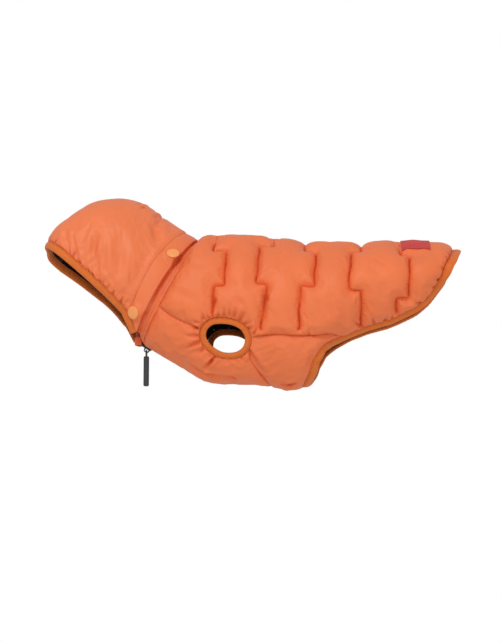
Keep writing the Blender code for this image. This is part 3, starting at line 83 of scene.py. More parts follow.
Ring = namedtuple("Ring", "top_x top_z low_x low_z half_width wide_at crown keel bow bow_end",
                  defaults=(1.0,))
BODY_RINGS = (
    Ring(-38.0, 1.0, -99.5, -113.0, 45.0, 0.50, 2.0, 2.0, 2.0),
    Ring(-31.0, 0.8, -75.5, -127.0, 50.0, 0.50, 1.9, 2.0, 1.0),
    Ring(-20.0, 0.5, -53.0, -140.0, 54.0, 0.50, 1.9, 2.0, 0.0),
    Ring(-5.0, 0.2, -29.0, -153.0, 57.0, 0.49, 1.85, 2.0, 0.0),
    Ring(18.0, -0.5, 14.0, -157.0, 59.0, 0.48, 1.85, 2.0, 0.0),
    Ring(45.0, -3.0, 45.0, -160.0, 59.0, 0.46, 1.8, 2.0, 0.0),
    Ring(70.0, -6.0, 70.0, -163.5, 58.0, 0.45, 1.75, 2.0, 0.0),
    Ring(86.0, -7.5, 86.0, -160.5, 57.0, 0.44, 1.75, 2.0, 0.0),
    Ring(97.0, -8.2, 97.0, -156.0, 56.0, 0.43, 1.7, 2.0, 0.0),
    Ring(106.0, -8.6, 106.0, -145.0, 55.0, 0.43, 1.7, 1.9, 0.0),
    Ring(118.0, -9.0, 118.0, -130.0, 54.0, 0.43, 1.65, 1.6, 0.0),
    Ring(132.0, -9.2, 132.0, -119.0, 53.0, 0.43, 1.65, 1.45, 0.0),
    Ring(150.0, -9.0, 150.0, -111.0, 52.0, 0.42, 1.6, 1.4, 0.0),
    Ring(180.0, -8.2, 180.0, -102.5, 49.0, 0.42, 1.5, 1.4, 0.0),
    Ring(210.0, -9.6, 210.0, -91.0, 45.0, 0.42, 1.5, 1.4, 0.0),
    Ring(235.0, -10.4, 235.0, -71.0, 40.0, 0.44, 1.5, 1.5, 0.0),
    Ring(252.0, -11.2, 252.0, -60.0, 37.0, 0.46, 1.5, 1.8, 0.0),
    Ring(266.0, -12.5, 266.0, -56.0, 32.0, 0.48, 1.5, 1.8, 0.0),
)

HoodRing = namedtuple("HoodRing", "top_x top_z half_width wide_at crown bow")
THROAT = (-114.5, -85.5, 33.0)        # x, z and half the distance across
THROAT_ROUNDNESS = 2.0
THROAT_FOLD = 14.0
THROAT_TRIES = 200
HOOD_STEPS = 25
BAND_FOOT = Ring(-41.0, 4.0, -111.0, -118.0, 46.0, 0.50, 2.0, 2.0, -4.5)
BAND_FOOT_END = (-107.5, -105.5)
HOOD_RINGS = (
    HoodRing(-54.5, 12.0, 49.0, 0.48, 2.0, -5.5),
    HoodRing(-80.5, 29.0, 50.5, 0.48, 2.0, -4.5),
    HoodRing(-101.0, 43.2, 52.0, 0.47, 2.0, -4.5),
    HoodRing(-119.0, 49.6, 53.5, 0.46, 2.1, -4.5),
    HoodRing(-136.0, 50.2, 54.0, 0.45, 2.2, -3.5),
    HoodRing(-161.0, 43.8, 54.0, 0.44, 2.4, -2.5),
    HoodRing(-185.0, 27.4, 52.0, 0.43, 2.7, -1.5),
    HoodRing(-201.0, 12.8, 50.0, 0.42, 3.0, -1.0),
    HoodRing(-209.0, -1.0, 48.0, 0.42, 3.2, 1.5),
)

# Spots on the left side as it is seen square on: x and z.
HEM_SEAM = (
    (83.5, -157.0), (88.5, -148.0), (91.5, -138.0), (96.0, -131.0),
    (102.0, -122.0), (111.0, -115.0), (121.0, -109.5), (132.0, -104.0),
    (144.0, -99.0), (155.5, -94.8), (167.0, -91.4), (177.5, -88.5),
    (187.0, -84.5), (196.0, -80.2), (205.0, -75.7), (213.0, -70.2),
    (219.5, -64.4), (225.5, -57.0), (231.5, -48.0), (237.0, -39.5),
    (242.0, -31.0), (247.0, -22.5),
)
HEM_START_X = 80.0
TAIL_SEAM_X = 252.5
LEG_HOLE = (
    (-32.0, -109.0), (-29.0, -99.5), (-20.0, -92.5), (-7.0, -91.0),
    (8.0, -93.5), (20.0, -101.0), (25.5, -113.0), (22.0, -126.0),
    (10.0, -133.5), (-7.0, -134.0), (-21.0, -127.5), (-29.5, -118.0),
)
FRONT_SIDE_SEAM = (
    (-79.5, -76.0), (-67.0, -85.5), (-58.0, -90.5), (-48.0, -95.5),
    (-31.0, -103.5),
)
REAR_SIDE_SEAM = (
    (25.0, -111.5), (40.0, -110.7), (56.0, -110.0), (72.0, -111.2),
    (90.0, -110.8), (104.0, -109.3), (114.0, -108.0), (123.0, -107.4),
)
BELLY_SEAM = (
    (22.5, -125.0), (25.0, -137.0), (32.0, -147.0), (40.0, -156.0),
)
BELLY_SEAM_END_X = 46.0

Stitch = namedtuple("Stitch",
                    "spine_x step_1 upper_x upper_foot step_2 lower_x foot_x foot_z spine_slack")
QUILT_LINES = (
    Stitch(-15.5, -17.0, -3.0, -4.5, -57.0, -15.5, -17.0, -88.0, 13.0),
    Stitch(48.0, -13.5, 33.5, 31.0, -55.0, 43.0, 36.0, -104.0, 10.0),
    Stitch(84.0, -18.0, 97.0, 95.0, -59.0, 80.0, 77.5, -104.0, 2.0),
    Stitch(148.0, -20.5, 137.0, 133.0, -61.0, 146.0, 146.0, -95.5, 1.0),
    Stitch(191.5, -24.5, 202.0, 198.0, -67.0, 185.5, 185.5, -80.5, 10.0),
)
SPINE_SLACK_REACH = 26.0

Snap = namedtuple("Snap", "name share off_middle tip_x tip_z")
SNAP_CLEAR = 0.3
SNAPS = (
    Snap("back", 0.40, -2.4, -0.2, 0.45),
    Snap("throat", 0.94, 4.0, -0.45, 0.1),
)

# ---- colours
SHELL_ORANGE = (0.849, 0.188, 0.060)
HOOD_ORANGE = (0.848, 0.201, 0.069)
CREASE_SHADE_RED = (0.62, 0.075, 0.018)       # painted shade for creases and folds, red as the shell reflects into them
GUARD_RED = (0.80, 0.115, 0.030)
BINDING_ORANGE = (0.75, 0.165, 0.023)
LABEL_RED = (0.605, 0.039, 0.038)
SNAP_ORANGE = (0.92, 0.335, 0.098)
LINING_BLACK = (0.012, 0.010, 0.012)
METAL_GREY = (0.045, 0.048, 0.055)
RUBBER_GREY = (0.028, 0.030, 0.034)
ZIP_BLACK = (0.014, 0.014, 0.016)


# ---- camera
CAMERA_AIM = (22.0, 0.0, -88.5)
CAMERA_DISTANCE = 1600.0
CAMERA_AZIMUTH = 3.0
CAMERA_ELEVATION = -7.0
MM_PER_PIXEL = 1.145
FRAME_HEIGHT_PX = 642
SENSOR = 24.0
CAMERA_CLIP = (0.05, 60.0)      # metres


def add_object(name, data):
    """An object in the scene for a mesh, a light or a camera."""
    made = bpy.data.objects.new(name, data)
    bpy.context.scene.collection.objects.link(made)
    return made


def place_camera():
    """A camera that looks at the coat's left side from a little below."""
    turn, lift = math.radians(CAMERA_AZIMUTH), math.radians(CAMERA_ELEVATION)
    back = Vector((math.sin(turn) * math.cos(lift), -math.cos(turn) * math.cos(lift),
                   math.sin(lift)))
    data = bpy.data.cameras.new("camera")
    data.sensor_fit = "VERTICAL"
    data.sensor_height = SENSOR
    data.lens = SENSOR * CAMERA_DISTANCE / (MM_PER_PIXEL * FRAME_HEIGHT_PX)
    data.clip_start, data.clip_end = CAMERA_CLIP
    camera = add_object("camera", data)
    camera.location = (Vector(CAMERA_AIM) + back * CAMERA_DISTANCE) * MM
    camera.rotation_euler = back.to_track_quat("Z", "Y").to_euler()
    bpy.context.scene.camera = camera


place_camera()


# ---- skins
def smooth_column(stations, values, wanted):
    """A cubic through the values, with slopes that never overshoot them."""
    stations = np.asarray(stations, float)
    values = np.asarray(values, float)
    runs = np.diff(stations)
    rises = np.diff(values) / runs
    slopes = np.zeros_like(values)
    slopes[0], slopes[-1] = rises[0], rises[-1]
    slopes[1:-1] = (rises[:-1] * runs[1:] + rises[1:] * runs[:-1]) / (runs[:-1] + runs[1:])
    cell = np.clip(np.searchsorted(stations, wanted, side="right") - 1, 0, len(runs) - 1)
    run = runs[cell]
    t = np.clip((wanted - stations[cell]) / run, -0.5, 1.5)
    return ((2 * t**3 - 3 * t**2 + 1) * values[cell] + (t**3 - 2 * t**2 + t) * run * slopes[cell]
            + (3 * t**2 - 2 * t**3) * values[cell + 1] + (t**3 - t**2) * run * slopes[cell + 1])


class Skin:
    """The smooth surface through a table of rings."""

    ALONG_STEP = 1.5
    AROUND_STEPS = 120
    QUARTER_STEPS = 160
    LAST_CELL = 0.000001          # keeps a place inside the last cell of the grid
    SEARCH_ROUNDS, SEARCH_STEP, LONGEST_MOVE = 6, 0.5, 3.0

    def __init__(self, rings):
        rows = np.array([tuple(r) for r in rings], float)
        sides = np.array([self._side_point(r) for r in rings])
        steps = np.linalg.norm(np.diff(sides, axis=0), axis=1)
        stations = np.concatenate([[0.0], np.cumsum(steps)])
        self.length = stations[-1]
        count = int(self.length / self.ALONG_STEP) + 2
        self.along = np.linspace(0.0, self.length, count)
        columns = [smooth_column(stations, rows[:, c], self.along) for c in range(rows.shape[1])]
        ring_at = [Ring(*values) for values in zip(*columns)]
        curves = [self._curve(r) for r in ring_at]
        self.grid = np.array([c[0] for c in curves])
        self.girth = np.array([c[1] for c in curves])
        outward = np.cross(np.gradient(self.grid, axis=1),
                           np.gradient(self.grid, self.along, axis=0))
        outward[:, 0] *= (1.0, 0.0, 1.0)
        outward[:, -1] *= (1.0, 0.0, 1.0)
        if outward[count // 2, self.AROUND_STEPS // 2, 1] > 0:
            outward = -outward
        self.normals = outward / np.linalg.norm(outward, axis=2, keepdims=True)
        self.tops = np.array([r.top_x for r in ring_at])
        self.normal_ends = None

    @staticmethod
    def _axes(ring):
        down = np.array([ring.low_x - ring.top_x, 0.0, ring.low_z - ring.top_z])
        height = np.linalg.norm(down)
        down /= height
        return down, np.array([-down[2], 0.0, down[0]]), height

    def _side_point(self, ring):
        down, tailward, height = self._axes(ring)
        bow = ring.bow * math.sin(math.pi * ring.wide_at / ring.bow_end)
        return (np.array([ring.top_x, 0.0, ring.top_z]) + down * height * ring.wide_at
                + tailward * bow)

    def _curve(self, ring):
        """The ring's left half at even steps, from its top to its lowest point."""
        down, tailward, height = self._axes(ring)
        upper = ring.wide_at * height
        turn = np.linspace(0.0, math.pi / 2, self.QUARTER_STEPS)
        sines, cosines = np.sin(turn), np.cos(turn)
        cosines[-1] = 0.0
        depth = np.concatenate([upper * (1 - cosines ** (2 / ring.crown)),
                                upper + (height - upper) * sines[1:] ** (2 / ring.keel)])
        width = ring.half_width * np.concatenate([sines ** (2 / ring.crown),
                                                  cosines[1:] ** (2 / ring.keel)])
        bow = ring.bow * np.sin(math.pi * np.clip(depth / height / ring.bow_end, 0.0, 1.0))
        points = (np.array([ring.top_x, 0.0, ring.top_z]) + depth[:, None] * down
                  + bow[:, None] * tailward)
        points[:, 1] = -width
        walked = walk_of(points)
        wanted = np.linspace(0.0, walked[-1], self.AROUND_STEPS + 1)
        return resampled(points, wanted, walked), walked[-1]

    def half_girth(self, u):
        """Length of half the ring, from the spine to its lowest point."""
        return np.interp(u, self.along, self.girth)

    def station_over(self, x):
        """The station whose ring tops out over x on a body that runs to +X."""
        return float(np.interp(x, self.tops, self.along))

    def _blend(self, table, u, v):
        u = np.clip(np.asarray(u, float), 0.0, self.length)
        v = np.asarray(v, float)
        row = np.clip(u / (self.along[1] - self.along[0]), 0,
                      len(self.along) - 1 - self.LAST_CELL)
        column = np.clip(np.abs(v) / self.half_girth(u) * self.AROUND_STEPS,
                         0, self.AROUND_STEPS - self.LAST_CELL)
        i, j = row.astype(int), column.astype(int)
        a, b = (row - i)[..., None], (column - j)[..., None]
        found = ((1 - a) * (1 - b) * table[i, j] + a * (1 - b) * table[i + 1, j]
                 + (1 - a) * b * table[i, j + 1] + a * b * table[i + 1, j + 1])
        found[..., 1] *= np.where(v > 0, -1.0, 1.0)
        return found

    def normal(self, u, v):
        """Outward normals at places on the skin."""
        if self.normal_ends is not None:
            end = np.interp(u, *self.normal_ends)
            v = np.clip(v, -end, end)
        return unit(self._blend(self.normals, u, v))

    def point(self, u, v, lift=0.0):
        """Points that stand lift millimetres off the skin."""
        lift = np.asarray(lift, float)[..., None]
        return self._blend(self.grid, u, v) + self.normal(u, v) * lift

    def surface(self, u, v):
        """Points on the skin and their outward normals."""
        return self.point(u, v), self.normal(u, v)

    def locate(self, spot):
        """The place on the left side that is seen at a spot, square on."""
        seen = self.grid[:, :, (0, 2)]
        target = np.array(spot)
        gap = np.linalg.norm(seen - target, axis=2)
        i, j = np.unravel_index(np.argmin(gap), gap.shape)
        place = np.array([self.along[i], -self.girth[i] * j / self.AROUND_STEPS])
        step = self.SEARCH_STEP
        for _ in range(self.SEARCH_ROUNDS):
            here = self.point(*place)[[0, 2]]
            slope_u = (self.point(place[0] + step, place[1])[[0, 2]] - here) / step
            slope_v = (self.point(place[0], place[1] + step)[[0, 2]] - here) / step
            slopes = np.stack([slope_u, slope_v], axis=1)
            move = np.linalg.lstsq(slopes, target - here, rcond=None)[0]
            place = place + np.clip(move, -self.LONGEST_MOVE, self.LONGEST_MOVE)
            place[0] = min(max(place[0], 0.0), self.length)
        return place


# ---- curves
SPLINE_STEPS = 24
SAME_PLACE = 0.05
SHARPEST_INSET = 0.35
BATCH = 2000                  # places that are compared with all dots at once


def unit(vectors):
    return vectors / np.linalg.norm(vectors, axis=-1, keepdims=True)


def walk_of(points):
    """How far along a broken line each of its points is."""
    return np.concatenate([[0.0], np.cumsum(np.linalg.norm(np.diff(points, axis=0), axis=1))])


def resampled(points, wanted, walked):
    """Points, or other rows, at the wanted distances along a broken line."""
    return np.stack([np.interp(wanted, walked, column) for column in points.T], axis=1)


def along_spline(knots, spacing, closed=False, count=None):
    """Evenly spaced places on a smooth curve through the knots."""
    knots = [np.asarray(k, float) for k in knots]
    if closed:
        ring = [knots[-1]] + knots + knots[:2]
    else:
        ring = [2 * knots[0] - knots[1]] + knots + [2 * knots[-1] - knots[-2]]
    fine = []
    for before, start, end, after in zip(ring, ring[1:], ring[2:], ring[3:]):
        for t in np.linspace(0.0, 1.0, SPLINE_STEPS, endpoint=False):
            fine.append(0.5 * (2 * start + (end - before) * t
                               + (2 * before - 5 * start + 4 * end - after) * t**2
                               + (3 * start - before - 3 * end + after) * t**3))
    fine.append(ring[-2])
    fine = np.array(fine)
    walked = walk_of(fine)
    if count is None:
        count = max(2, round(walked[-1] / spacing) + 1)
    wanted = np.linspace(0.0, walked[-1], count + (1 if closed else 0))
    places = resampled(fine, wanted, walked)
    return places[:-1] if closed else places


def join(*curves):
    """One closed outline from curves that meet end to end."""
    outline = []
    for curve in curves:
        for place in curve:
            if not outline or np.linalg.norm(place - outline[-1]) > SAME_PLACE:
                outline.append(np.asarray(place, float))
    if np.linalg.norm(outline[0] - outline[-1]) < SAME_PLACE:
        outline.pop()
    return np.array(outline)


def mirrored(curve):
    """The same curve on the other side of the spine, run backwards."""
    return np.array(curve)[::-1] * (1.0, -1.0)


def inset(outline, gap):
    """Move a closed outline, run anticlockwise, inwards by the gap."""
    before = unit(outline - np.roll(outline, 1, axis=0))
    after = unit(np.roll(outline, -1, axis=0) - outline)
    in_before = np.stack([-before[:, 1], before[:, 0]], axis=1)
    in_after = np.stack([-after[:, 1], after[:, 0]], axis=1)
    middle = in_before + in_after
    middle /= np.maximum(np.linalg.norm(middle, axis=1, keepdims=True), 1e-6)
    reach = np.maximum(np.sum(middle * in_after, axis=1, keepdims=True), SHARPEST_INSET)
    return outline + middle * gap / reach


def inside(outline, places):
    """Which places lie inside a closed outline."""
    x, y = places[:, 0], places[:, 1]
    hit = np.zeros(len(places), bool)
    for (ax, ay), (bx, by) in zip(outline, np.roll(outline, -1, axis=0)):
        crosses = (ay > y) != (by > y)
        if ay != by:
            hit ^= crosses & (x < (bx - ax) * (y - ay) / (by - ay) + ax)
    return hit


def divided(corners, spacing, closed=False):
    """A broken line with places no further apart than the spacing."""
    corners = np.asarray(corners, float)
    if closed:
        corners = np.vstack([corners, corners[:1]])
    places = [corners[:1]]
    for start, end in zip(corners, corners[1:]):
        count = max(1, math.ceil(np.linalg.norm(end - start) / spacing))
        places.append(start + (end - start) * np.linspace(0, 1, count + 1)[1:, None])
    places = np.vstack(places)
    return places[:-1] if closed else places


def nearest(places, dots):
    """The nearest dot to each place, and how far it is."""
    index = np.empty(len(places), int)
    gap = np.empty(len(places))
    weights = (dots**2).sum(axis=1)
    for start in range(0, len(places), BATCH):
        part = places[start:start + BATCH]
        square = weights - 2 * part @ dots.T
        found = square.argmin(axis=1)
        index[start:start + BATCH] = found
        gap[start:start + BATCH] = np.linalg.norm(part - dots[found], axis=1)
    return index, gap


# ---- seams of the cut
body = Skin(BODY_RINGS)


def hood_ring(row):
    """A full ring from a hood row: it passes the throat line on its way down."""
    throat_x, throat_z, throat_half = THROAT
    share = math.sqrt(1 - (throat_half / row.half_width) ** 2)
    stretch = row.wide_at + share * (1 - row.wide_at)
    return Ring(row.top_x, row.top_z, row.top_x + (throat_x - row.top_x) / stretch,
                row.top_z + (throat_z - row.top_z) / stretch, row.half_width, row.wide_at,
                row.crown, THROAT_ROUNDNESS, row.bow, stretch)


def throat_arc(skin, u):
    """Length along a hood ring from the spine to the throat line."""
    arcs = np.linspace(0.3, 1.0, THROAT_TRIES) * skin.half_girth(u)
    points = skin.point(np.full(THROAT_TRIES, u), -arcs)
    return float(arcs[np.argmin(np.hypot(points[:, 0] - THROAT[0], points[:, 2] - THROAT[1]))])


hood = Skin([hood_ring(row) for row in HOOD_RINGS])
band = Skin([BAND_FOOT, hood_ring(HOOD_RINGS[0])])
HOOD_STATIONS = np.linspace(0.0, hood.length, HOOD_STEPS)
HOOD_THROAT_ARCS = np.array([throat_arc(hood, u) for u in HOOD_STATIONS])
hood.normal_ends = (HOOD_STATIONS, HOOD_THROAT_ARCS - THROAT_FOLD)

# How far the right side of the hood's rim lies tailward, on its way from brow to
# throat: it hangs fuller under the brow and is drawn in toward the throat.
RimShift = namedtuple("RimShift", "share tailward")
RIM_SHIFTS = (RimShift(0.0, -3.0), RimShift(0.10, -2.0), RimShift(0.25, 0.6), RimShift(0.5, 2.8),
              RimShift(0.68, 3.6), RimShift(0.82, 2.0), RimShift(0.94, -0.4), RimShift(1.0, 0.0))
RIM_REACH = 40.0
RIM_SIDE = 25.0


def drawn_in(points):
    """Shift the right side of the hood's rim, less and less away from its edge."""
    brow = np.array([HOOD_RINGS[-1].top_x, HOOD_RINGS[-1].top_z])
    along = np.array(THROAT[:2]) - brow
    length = np.linalg.norm(along)
    along = along / length
    tailward = np.array([-along[1], along[0]])
    way = points[..., (0, 2)] - brow
    shares = np.clip(way @ along / length, 0.0, 1.0)
    shift = smooth_column(*zip(*RIM_SHIFTS), shares.ravel()).reshape(shares.shape)
    side = np.clip(points[..., 1] / RIM_SIDE, 0.0, 1.0)
    shift = shift * side**2 * (3 - 2 * side) * np.exp(-(way @ tailward / RIM_REACH) ** 2)
    moved = points.copy()
    moved[..., (0, 2)] += shift[..., None] * tailward
    return moved


def rolled(points):
    """Turn the hood a little around the collar it is snapped to."""
    centre = np.array([(BAND_FOOT.top_x + BAND_FOOT.low_x) / 2, 0.0,
                       (BAND_FOOT.top_z + BAND_FOOT.low_z) / 2])
    down = np.array([BAND_FOOT.low_x - BAND_FOOT.top_x, 0.0, BAND_FOOT.low_z - BAND_FOOT.top_z])
    axis = Vector((down[2], 0.0, -down[0])).normalized()
    turn = np.array(Matrix.Rotation(math.radians(HOOD_ROLL), 3, axis))
    return (drawn_in(np.asarray(points)) - centre) @ turn.T + centre


def seam_between(spots, first=None, last=None):
    """A seam through spots on the side; its ends may be given as places."""
    places = [body.locate(s) for s in spots]
    if first is not None:
        places[0] = np.asarray(first, float)
    if last is not None:
        places[-1] = np.asarray(last, float)
    return along_spline(places, CLOTH_SPACING)


def zip_edge(u):
    """Where a front panel stops beside the zip, on the left."""
    return -(body.half_girth(u) - ZIP_HALF_WIDTH)


def beside_zip(u):
    return np.array([u, zip_edge(u)])


leg_loop = along_spline([body.locate(s) for s in LEG_HOLE], None, closed=True,
                        count=LEG_PLACES)


def loop_index(place):
    return int(np.argmin(np.linalg.norm(leg_loop - place, axis=1)))


def loop_arc(first, last):
    """Places of the leg hole from one index to another, both included."""
    count = len(leg_loop)
    return np.array([leg_loop[(first + i) % count] for i in range((last - first) % count + 1)])


front_at = loop_index(body.locate(FRONT_SIDE_SEAM[-1]))
rear_at = loop_index(body.locate(REAR_SIDE_SEAM[0]))
belly_at = loop_index(body.locate(BELLY_SEAM[0]))
belly_seam_u = body.station_over(BELLY_SEAM_END_X)
hem_start_u = body.station_over(HEM_START_X)
tail_u = body.station_over(TAIL_SEAM_X)
hem_left = [beside_zip(hem_start_u)] + [body.locate(s) for s in HEM_SEAM]
hem_seam = along_spline(hem_left + [np.array([tail_u, 0.0])]
                        + [k * (1.0, -1.0) for k in reversed(hem_left)], CLOTH_SPACING)
hem_middle = len(hem_seam) // 2
side_seam_at = int(np.argmin(np.linalg.norm(
    hem_seam[:hem_middle] - body.locate(REAR_SIDE_SEAM[-1]), axis=1)))
front_side_seam = seam_between(FRONT_SIDE_SEAM, last=leg_loop[front_at])
front_side_seam[0][0] = 0.0
rear_side_seam = seam_between(REAR_SIDE_SEAM, first=leg_loop[rear_at], last=hem_seam[side_seam_at])
belly_seam = along_spline([leg_loop[belly_at]] + [body.locate(s) for s in BELLY_SEAM[1:]]
                          + [beside_zip(belly_seam_u)], CLOTH_SPACING)


def zip_places(first, last):
    stations = np.linspace(first, last, round((last - first) / CLOTH_SPACING) + 1)
    return np.array([beside_zip(u) for u in stations])


def neck_places(first, last):
    count = round(abs(last - first) / CLOTH_SPACING) + 1
    return np.array([(0.0, v) for v in np.linspace(first, last, count)])


neck_side_v = front_side_seam[0][1]
back_outline = join(front_side_seam, loop_arc(front_at, rear_at), rear_side_seam,
                    hem_seam[side_seam_at:len(hem_seam) - side_seam_at],
                    mirrored(rear_side_seam), mirrored(loop_arc(front_at, rear_at)),
                    mirrored(front_side_seam), neck_places(-neck_side_v, neck_side_v))
chest_outline = join(zip_places(0.0, belly_seam_u), belly_seam[::-1],
                     loop_arc(belly_at, front_at), front_side_seam[::-1],
                     neck_places(neck_side_v, zip_edge(0.0)))
belly_outline = join(zip_places(belly_seam_u, hem_start_u), hem_seam[:side_seam_at + 1],
                     rear_side_seam[::-1], loop_arc(rear_at, belly_at), belly_seam)


def stitch_corners(line):
    """One quilting line's corners on the left side, from the spine to its foot."""
    def at(x, z):
        return body.locate((x, z))

    top = np.array([body.station_over(line.spine_x), 0.0])
    step_1 = at(line.spine_x, line.step_1)[1]
    upper_foot = at(line.upper_foot, line.step_2)
    return np.array([top, (top[0], step_1), (at(line.upper_x, line.step_1)[0], step_1),
                     upper_foot, (at(line.lower_x, line.step_2)[0], upper_foot[1]),
                     at(line.foot_x, line.foot_z)])


ROUNDING_ROUNDS = 2
WAVER = 0.8
WAVER_WAVES = ((0.55, 4.6), (0.45, 8.3))  # share and length


def hand_sewn(line, seed):
    """A line with its corners rounded and a slight waver, held at both ends."""
    line = line.copy()
    for _ in range(ROUNDING_ROUNDS):
        line[1:-1] = (line[:-2] + 2 * line[1:-1] + line[2:]) / 4
    walked = walk_of(line)
    phases = np.random.default_rng(seed).uniform(0, 2 * math.pi, len(WAVER_WAVES))
    waver = sum(share * np.sin(walked / length + phase)
                for (share, length), phase in zip(WAVER_WAVES, phases))
    line[1:-1, 0] += waver[1:-1] * WAVER
    return line


quilting, quilting_steps = [], []
for seed, row in enumerate(QUILT_LINES):
    corners = stitch_corners(row)
    left_line = hand_sewn(divided(corners, CLOTH_SPACING), seed)
    quilting.append(np.vstack([mirrored(left_line)[:-1], left_line]))
    for first in (1, 3):
        quilting_steps.append(divided(corners[first:first + 2], CLOTH_SPACING))


# ---- flat sheets
EDGE_CLEAR = 0.6              # a place's least distance from an edge, in spacings
MERGE_NEARER = 1e-5
PILLOW_FULLNESS = 0.55
GATHER_DOTS = 0.8


def fill_places(outline, lines, spacing):
    """Places in rows inside an outline, clear of its edge and of the lines."""
    edge = np.vstack([divided(outline, spacing / 2, closed=True)]
                     + [divided(line, spacing / 2) for line in lines])
    low, high = outline.min(axis=0), outline.max(axis=0)
    rows = np.arange(low[1], high[1], spacing * math.sqrt(3) / 2)
    columns = np.arange(low[0], high[0], spacing)
    places = np.vstack([np.column_stack([columns + (spacing / 2 if r % 2 else 0),
                                         np.full(len(columns), y)]) for r, y in enumerate(rows)])
    places = places[inside(outline, places)]
    return places[nearest(places, edge)[1] > spacing * EDGE_CLEAR]


def triangulate(outline, lines, places):
    """Triangles over an outline that keep to the lines: places and corners."""
    corners = [Vector(p) for p in outline]
    edges = []
    for line in lines:
        first = len(corners)
        corners += [Vector(p) for p in line]
        edges += [(first + i, first + i + 1) for i in range(len(line) - 1)]
    corners += [Vector(p) for p in places]
    found, _, faces, origins, _, _ = geometry.delaunay_2d_cdt(
        corners, edges, [list(range(len(outline)))], 1, MERGE_NEARER)
    spots = np.array([tuple(p) for p in found])
    rim = {}
    sewn = np.zeros(len(spots), bool)
    last_line = len(corners) - len(places)
    for index, sources in enumerate(origins):
        for source in sources:
            if source < len(outline):
                rim[source] = index
            if source < last_line:
                sewn[index] = True
    faces = np.array([tuple(f) for f in faces])
    a, b, c = (spots[faces[:, k]] for k in range(3))
    backwards = ((b - a)[:, 0] * (c - a)[:, 1] - (b - a)[:, 1] * (c - a)[:, 0]) < 0
    faces[backwards] = faces[backwards][:, (0, 2, 1)]
    return spots, faces, [rim[i] for i in range(len(outline))], sewn


def straight(places):
    """The chart of a piece that is cut in its skin's own (u, v)."""
    return places[:, 0], places[:, 1]


class Sheet:
    """A fine sheet over a piece's outline, in its flat chart."""

    def __init__(self, skin, outline, lines=(), chart=straight, spacing=CLOTH_SPACING):
        self.skin, self.chart, self.source = skin, chart, outline
        self.outline = inset(outline, SEAM_GAP / 2)
        self.spots, self.faces, self.rim, self.sewn = triangulate(
            self.outline, list(lines), fill_places(self.outline, lines, spacing))

    def raised(self, lift):
        return self.skin.point(*self.chart(self.spots), np.broadcast_to(lift, len(self.spots)))


def with_slack(places, slack=0.0):
    """Stitched points of the body with how slack the thread is at each."""
    points = body.point(places[:, 0], places[:, 1])
    slacks = slack * np.clip(1.0 - np.abs(places[:, 1]) / SPINE_SLACK_REACH, 0.0, 1.0)
    return np.column_stack([points, slacks])


def pillow(distance, loft, reach):
    """Height of a padded wall at a distance from its nearest stitching."""
    way = np.clip(distance / reach, 0.0, 1.0)
    return SEWN_HEIGHT + (loft - SEWN_HEIGHT) * (1 - (1 - way) ** 2) ** PILLOW_FULLNESS


class Gathers:
    """Pits along a gathered edge, each the start of a short crease off it."""

    JITTER = 0.24
    DEPTHS, REACHES, LEANS, WIDTHS = (0.55, 1.15), (0.6, 1.5), (-0.45, 0.45), (1.3, 2.0)
    WIDENING = 0.12               # how much wider a pit is for each millimetre off its edge
    SWELL, SWELL_AT = 0.3, 2.2    # the ridges beside a pit, and how many widths off they are
    FADE = 1.3

    def __init__(self, edge, count, depth, reach, seed, ends):
        self.dots = divided(edge, GATHER_DOTS)
        walked = walk_of(self.dots)
        draw = np.random.default_rng(seed)
        middles = (np.arange(count) + 0.5 + draw.uniform(-self.JITTER, self.JITTER, count)) / count
        deep = draw.uniform(*self.DEPTHS, count)
        self.depth = depth
        self.deep = deep * np.clip(np.minimum(middles, 1 - middles) / ends, 0, 1)
        self.walked, self.middles = walked, middles * walked[-1]
        self.reaches = reach * draw.uniform(*self.REACHES, count)
        self.lean = draw.uniform(*self.LEANS, count)
        self.wide = draw.uniform(*self.WIDTHS, count)

    def pits(self, places):
        """How far into a pit each place is, from 0 to 1, and how deep that makes it."""
        near, gap = nearest(places, self.dots)
        strength, lower = np.zeros(len(places)), np.zeros(len(places))
        for middle, deep, reach, lean, wide in zip(self.middles, self.deep, self.reaches,
                                                   self.lean, self.wide):
            aside = self.walked[near] - middle - lean * gap
            width = wide * (1 + self.WIDENING * gap)
            fade = np.exp(-(gap / reach) ** self.FADE)
            pit = deep * np.exp(-(aside / width) ** 2) * fade
            beside = (np.abs(aside) - self.SWELL_AT * width) / width
            lower += pit - self.SWELL * (deep * np.exp(-beside**2) * fade)
            strength = np.maximum(strength, pit)
        return strength, -self.depth * lower


# ---- folds
# A fold is a soft trough from one spot to another, seen square on from the
# left. Below zero, deep makes it a ridge. side is -1 for the left alone, 1 for
# the right alone, and 0 for both, where the right gets a like one.
Fold = namedtuple("Fold", "x1 z1 x2 z2 wide deep side", defaults=(0,))
BODY_FOLDS = [Fold(*row) for row in (
    # round the leg hole
    (-44, -126, -24, -124, 2.8, 1.0), (9, -72, 18, -81, 3.0, 1.4),
    # across the shoulder
    (-53, -30, -27, -38, 4.0, 0.9), (-58, -63, -34, -73, 4.5, 0.9), (37, -63, 43, -74, 2.8, 1.4),
    # along the hem
    (92, -129, 87, -145, 3.4, 1.8), (97, -112, 114, -108, 2.6, 1.7),
    (206, -33, 226, -26, 4.0, 1.0),
    # the near edge of the chest, which the other side shows below
    (-44, -137, -30, -147, 2.0, 2.0, -1), (-30, -147, -14, -150, 2.0, 2.6, -1),
    (-14, -150, 3, -151, 2.0, 2.0, -1),
)]
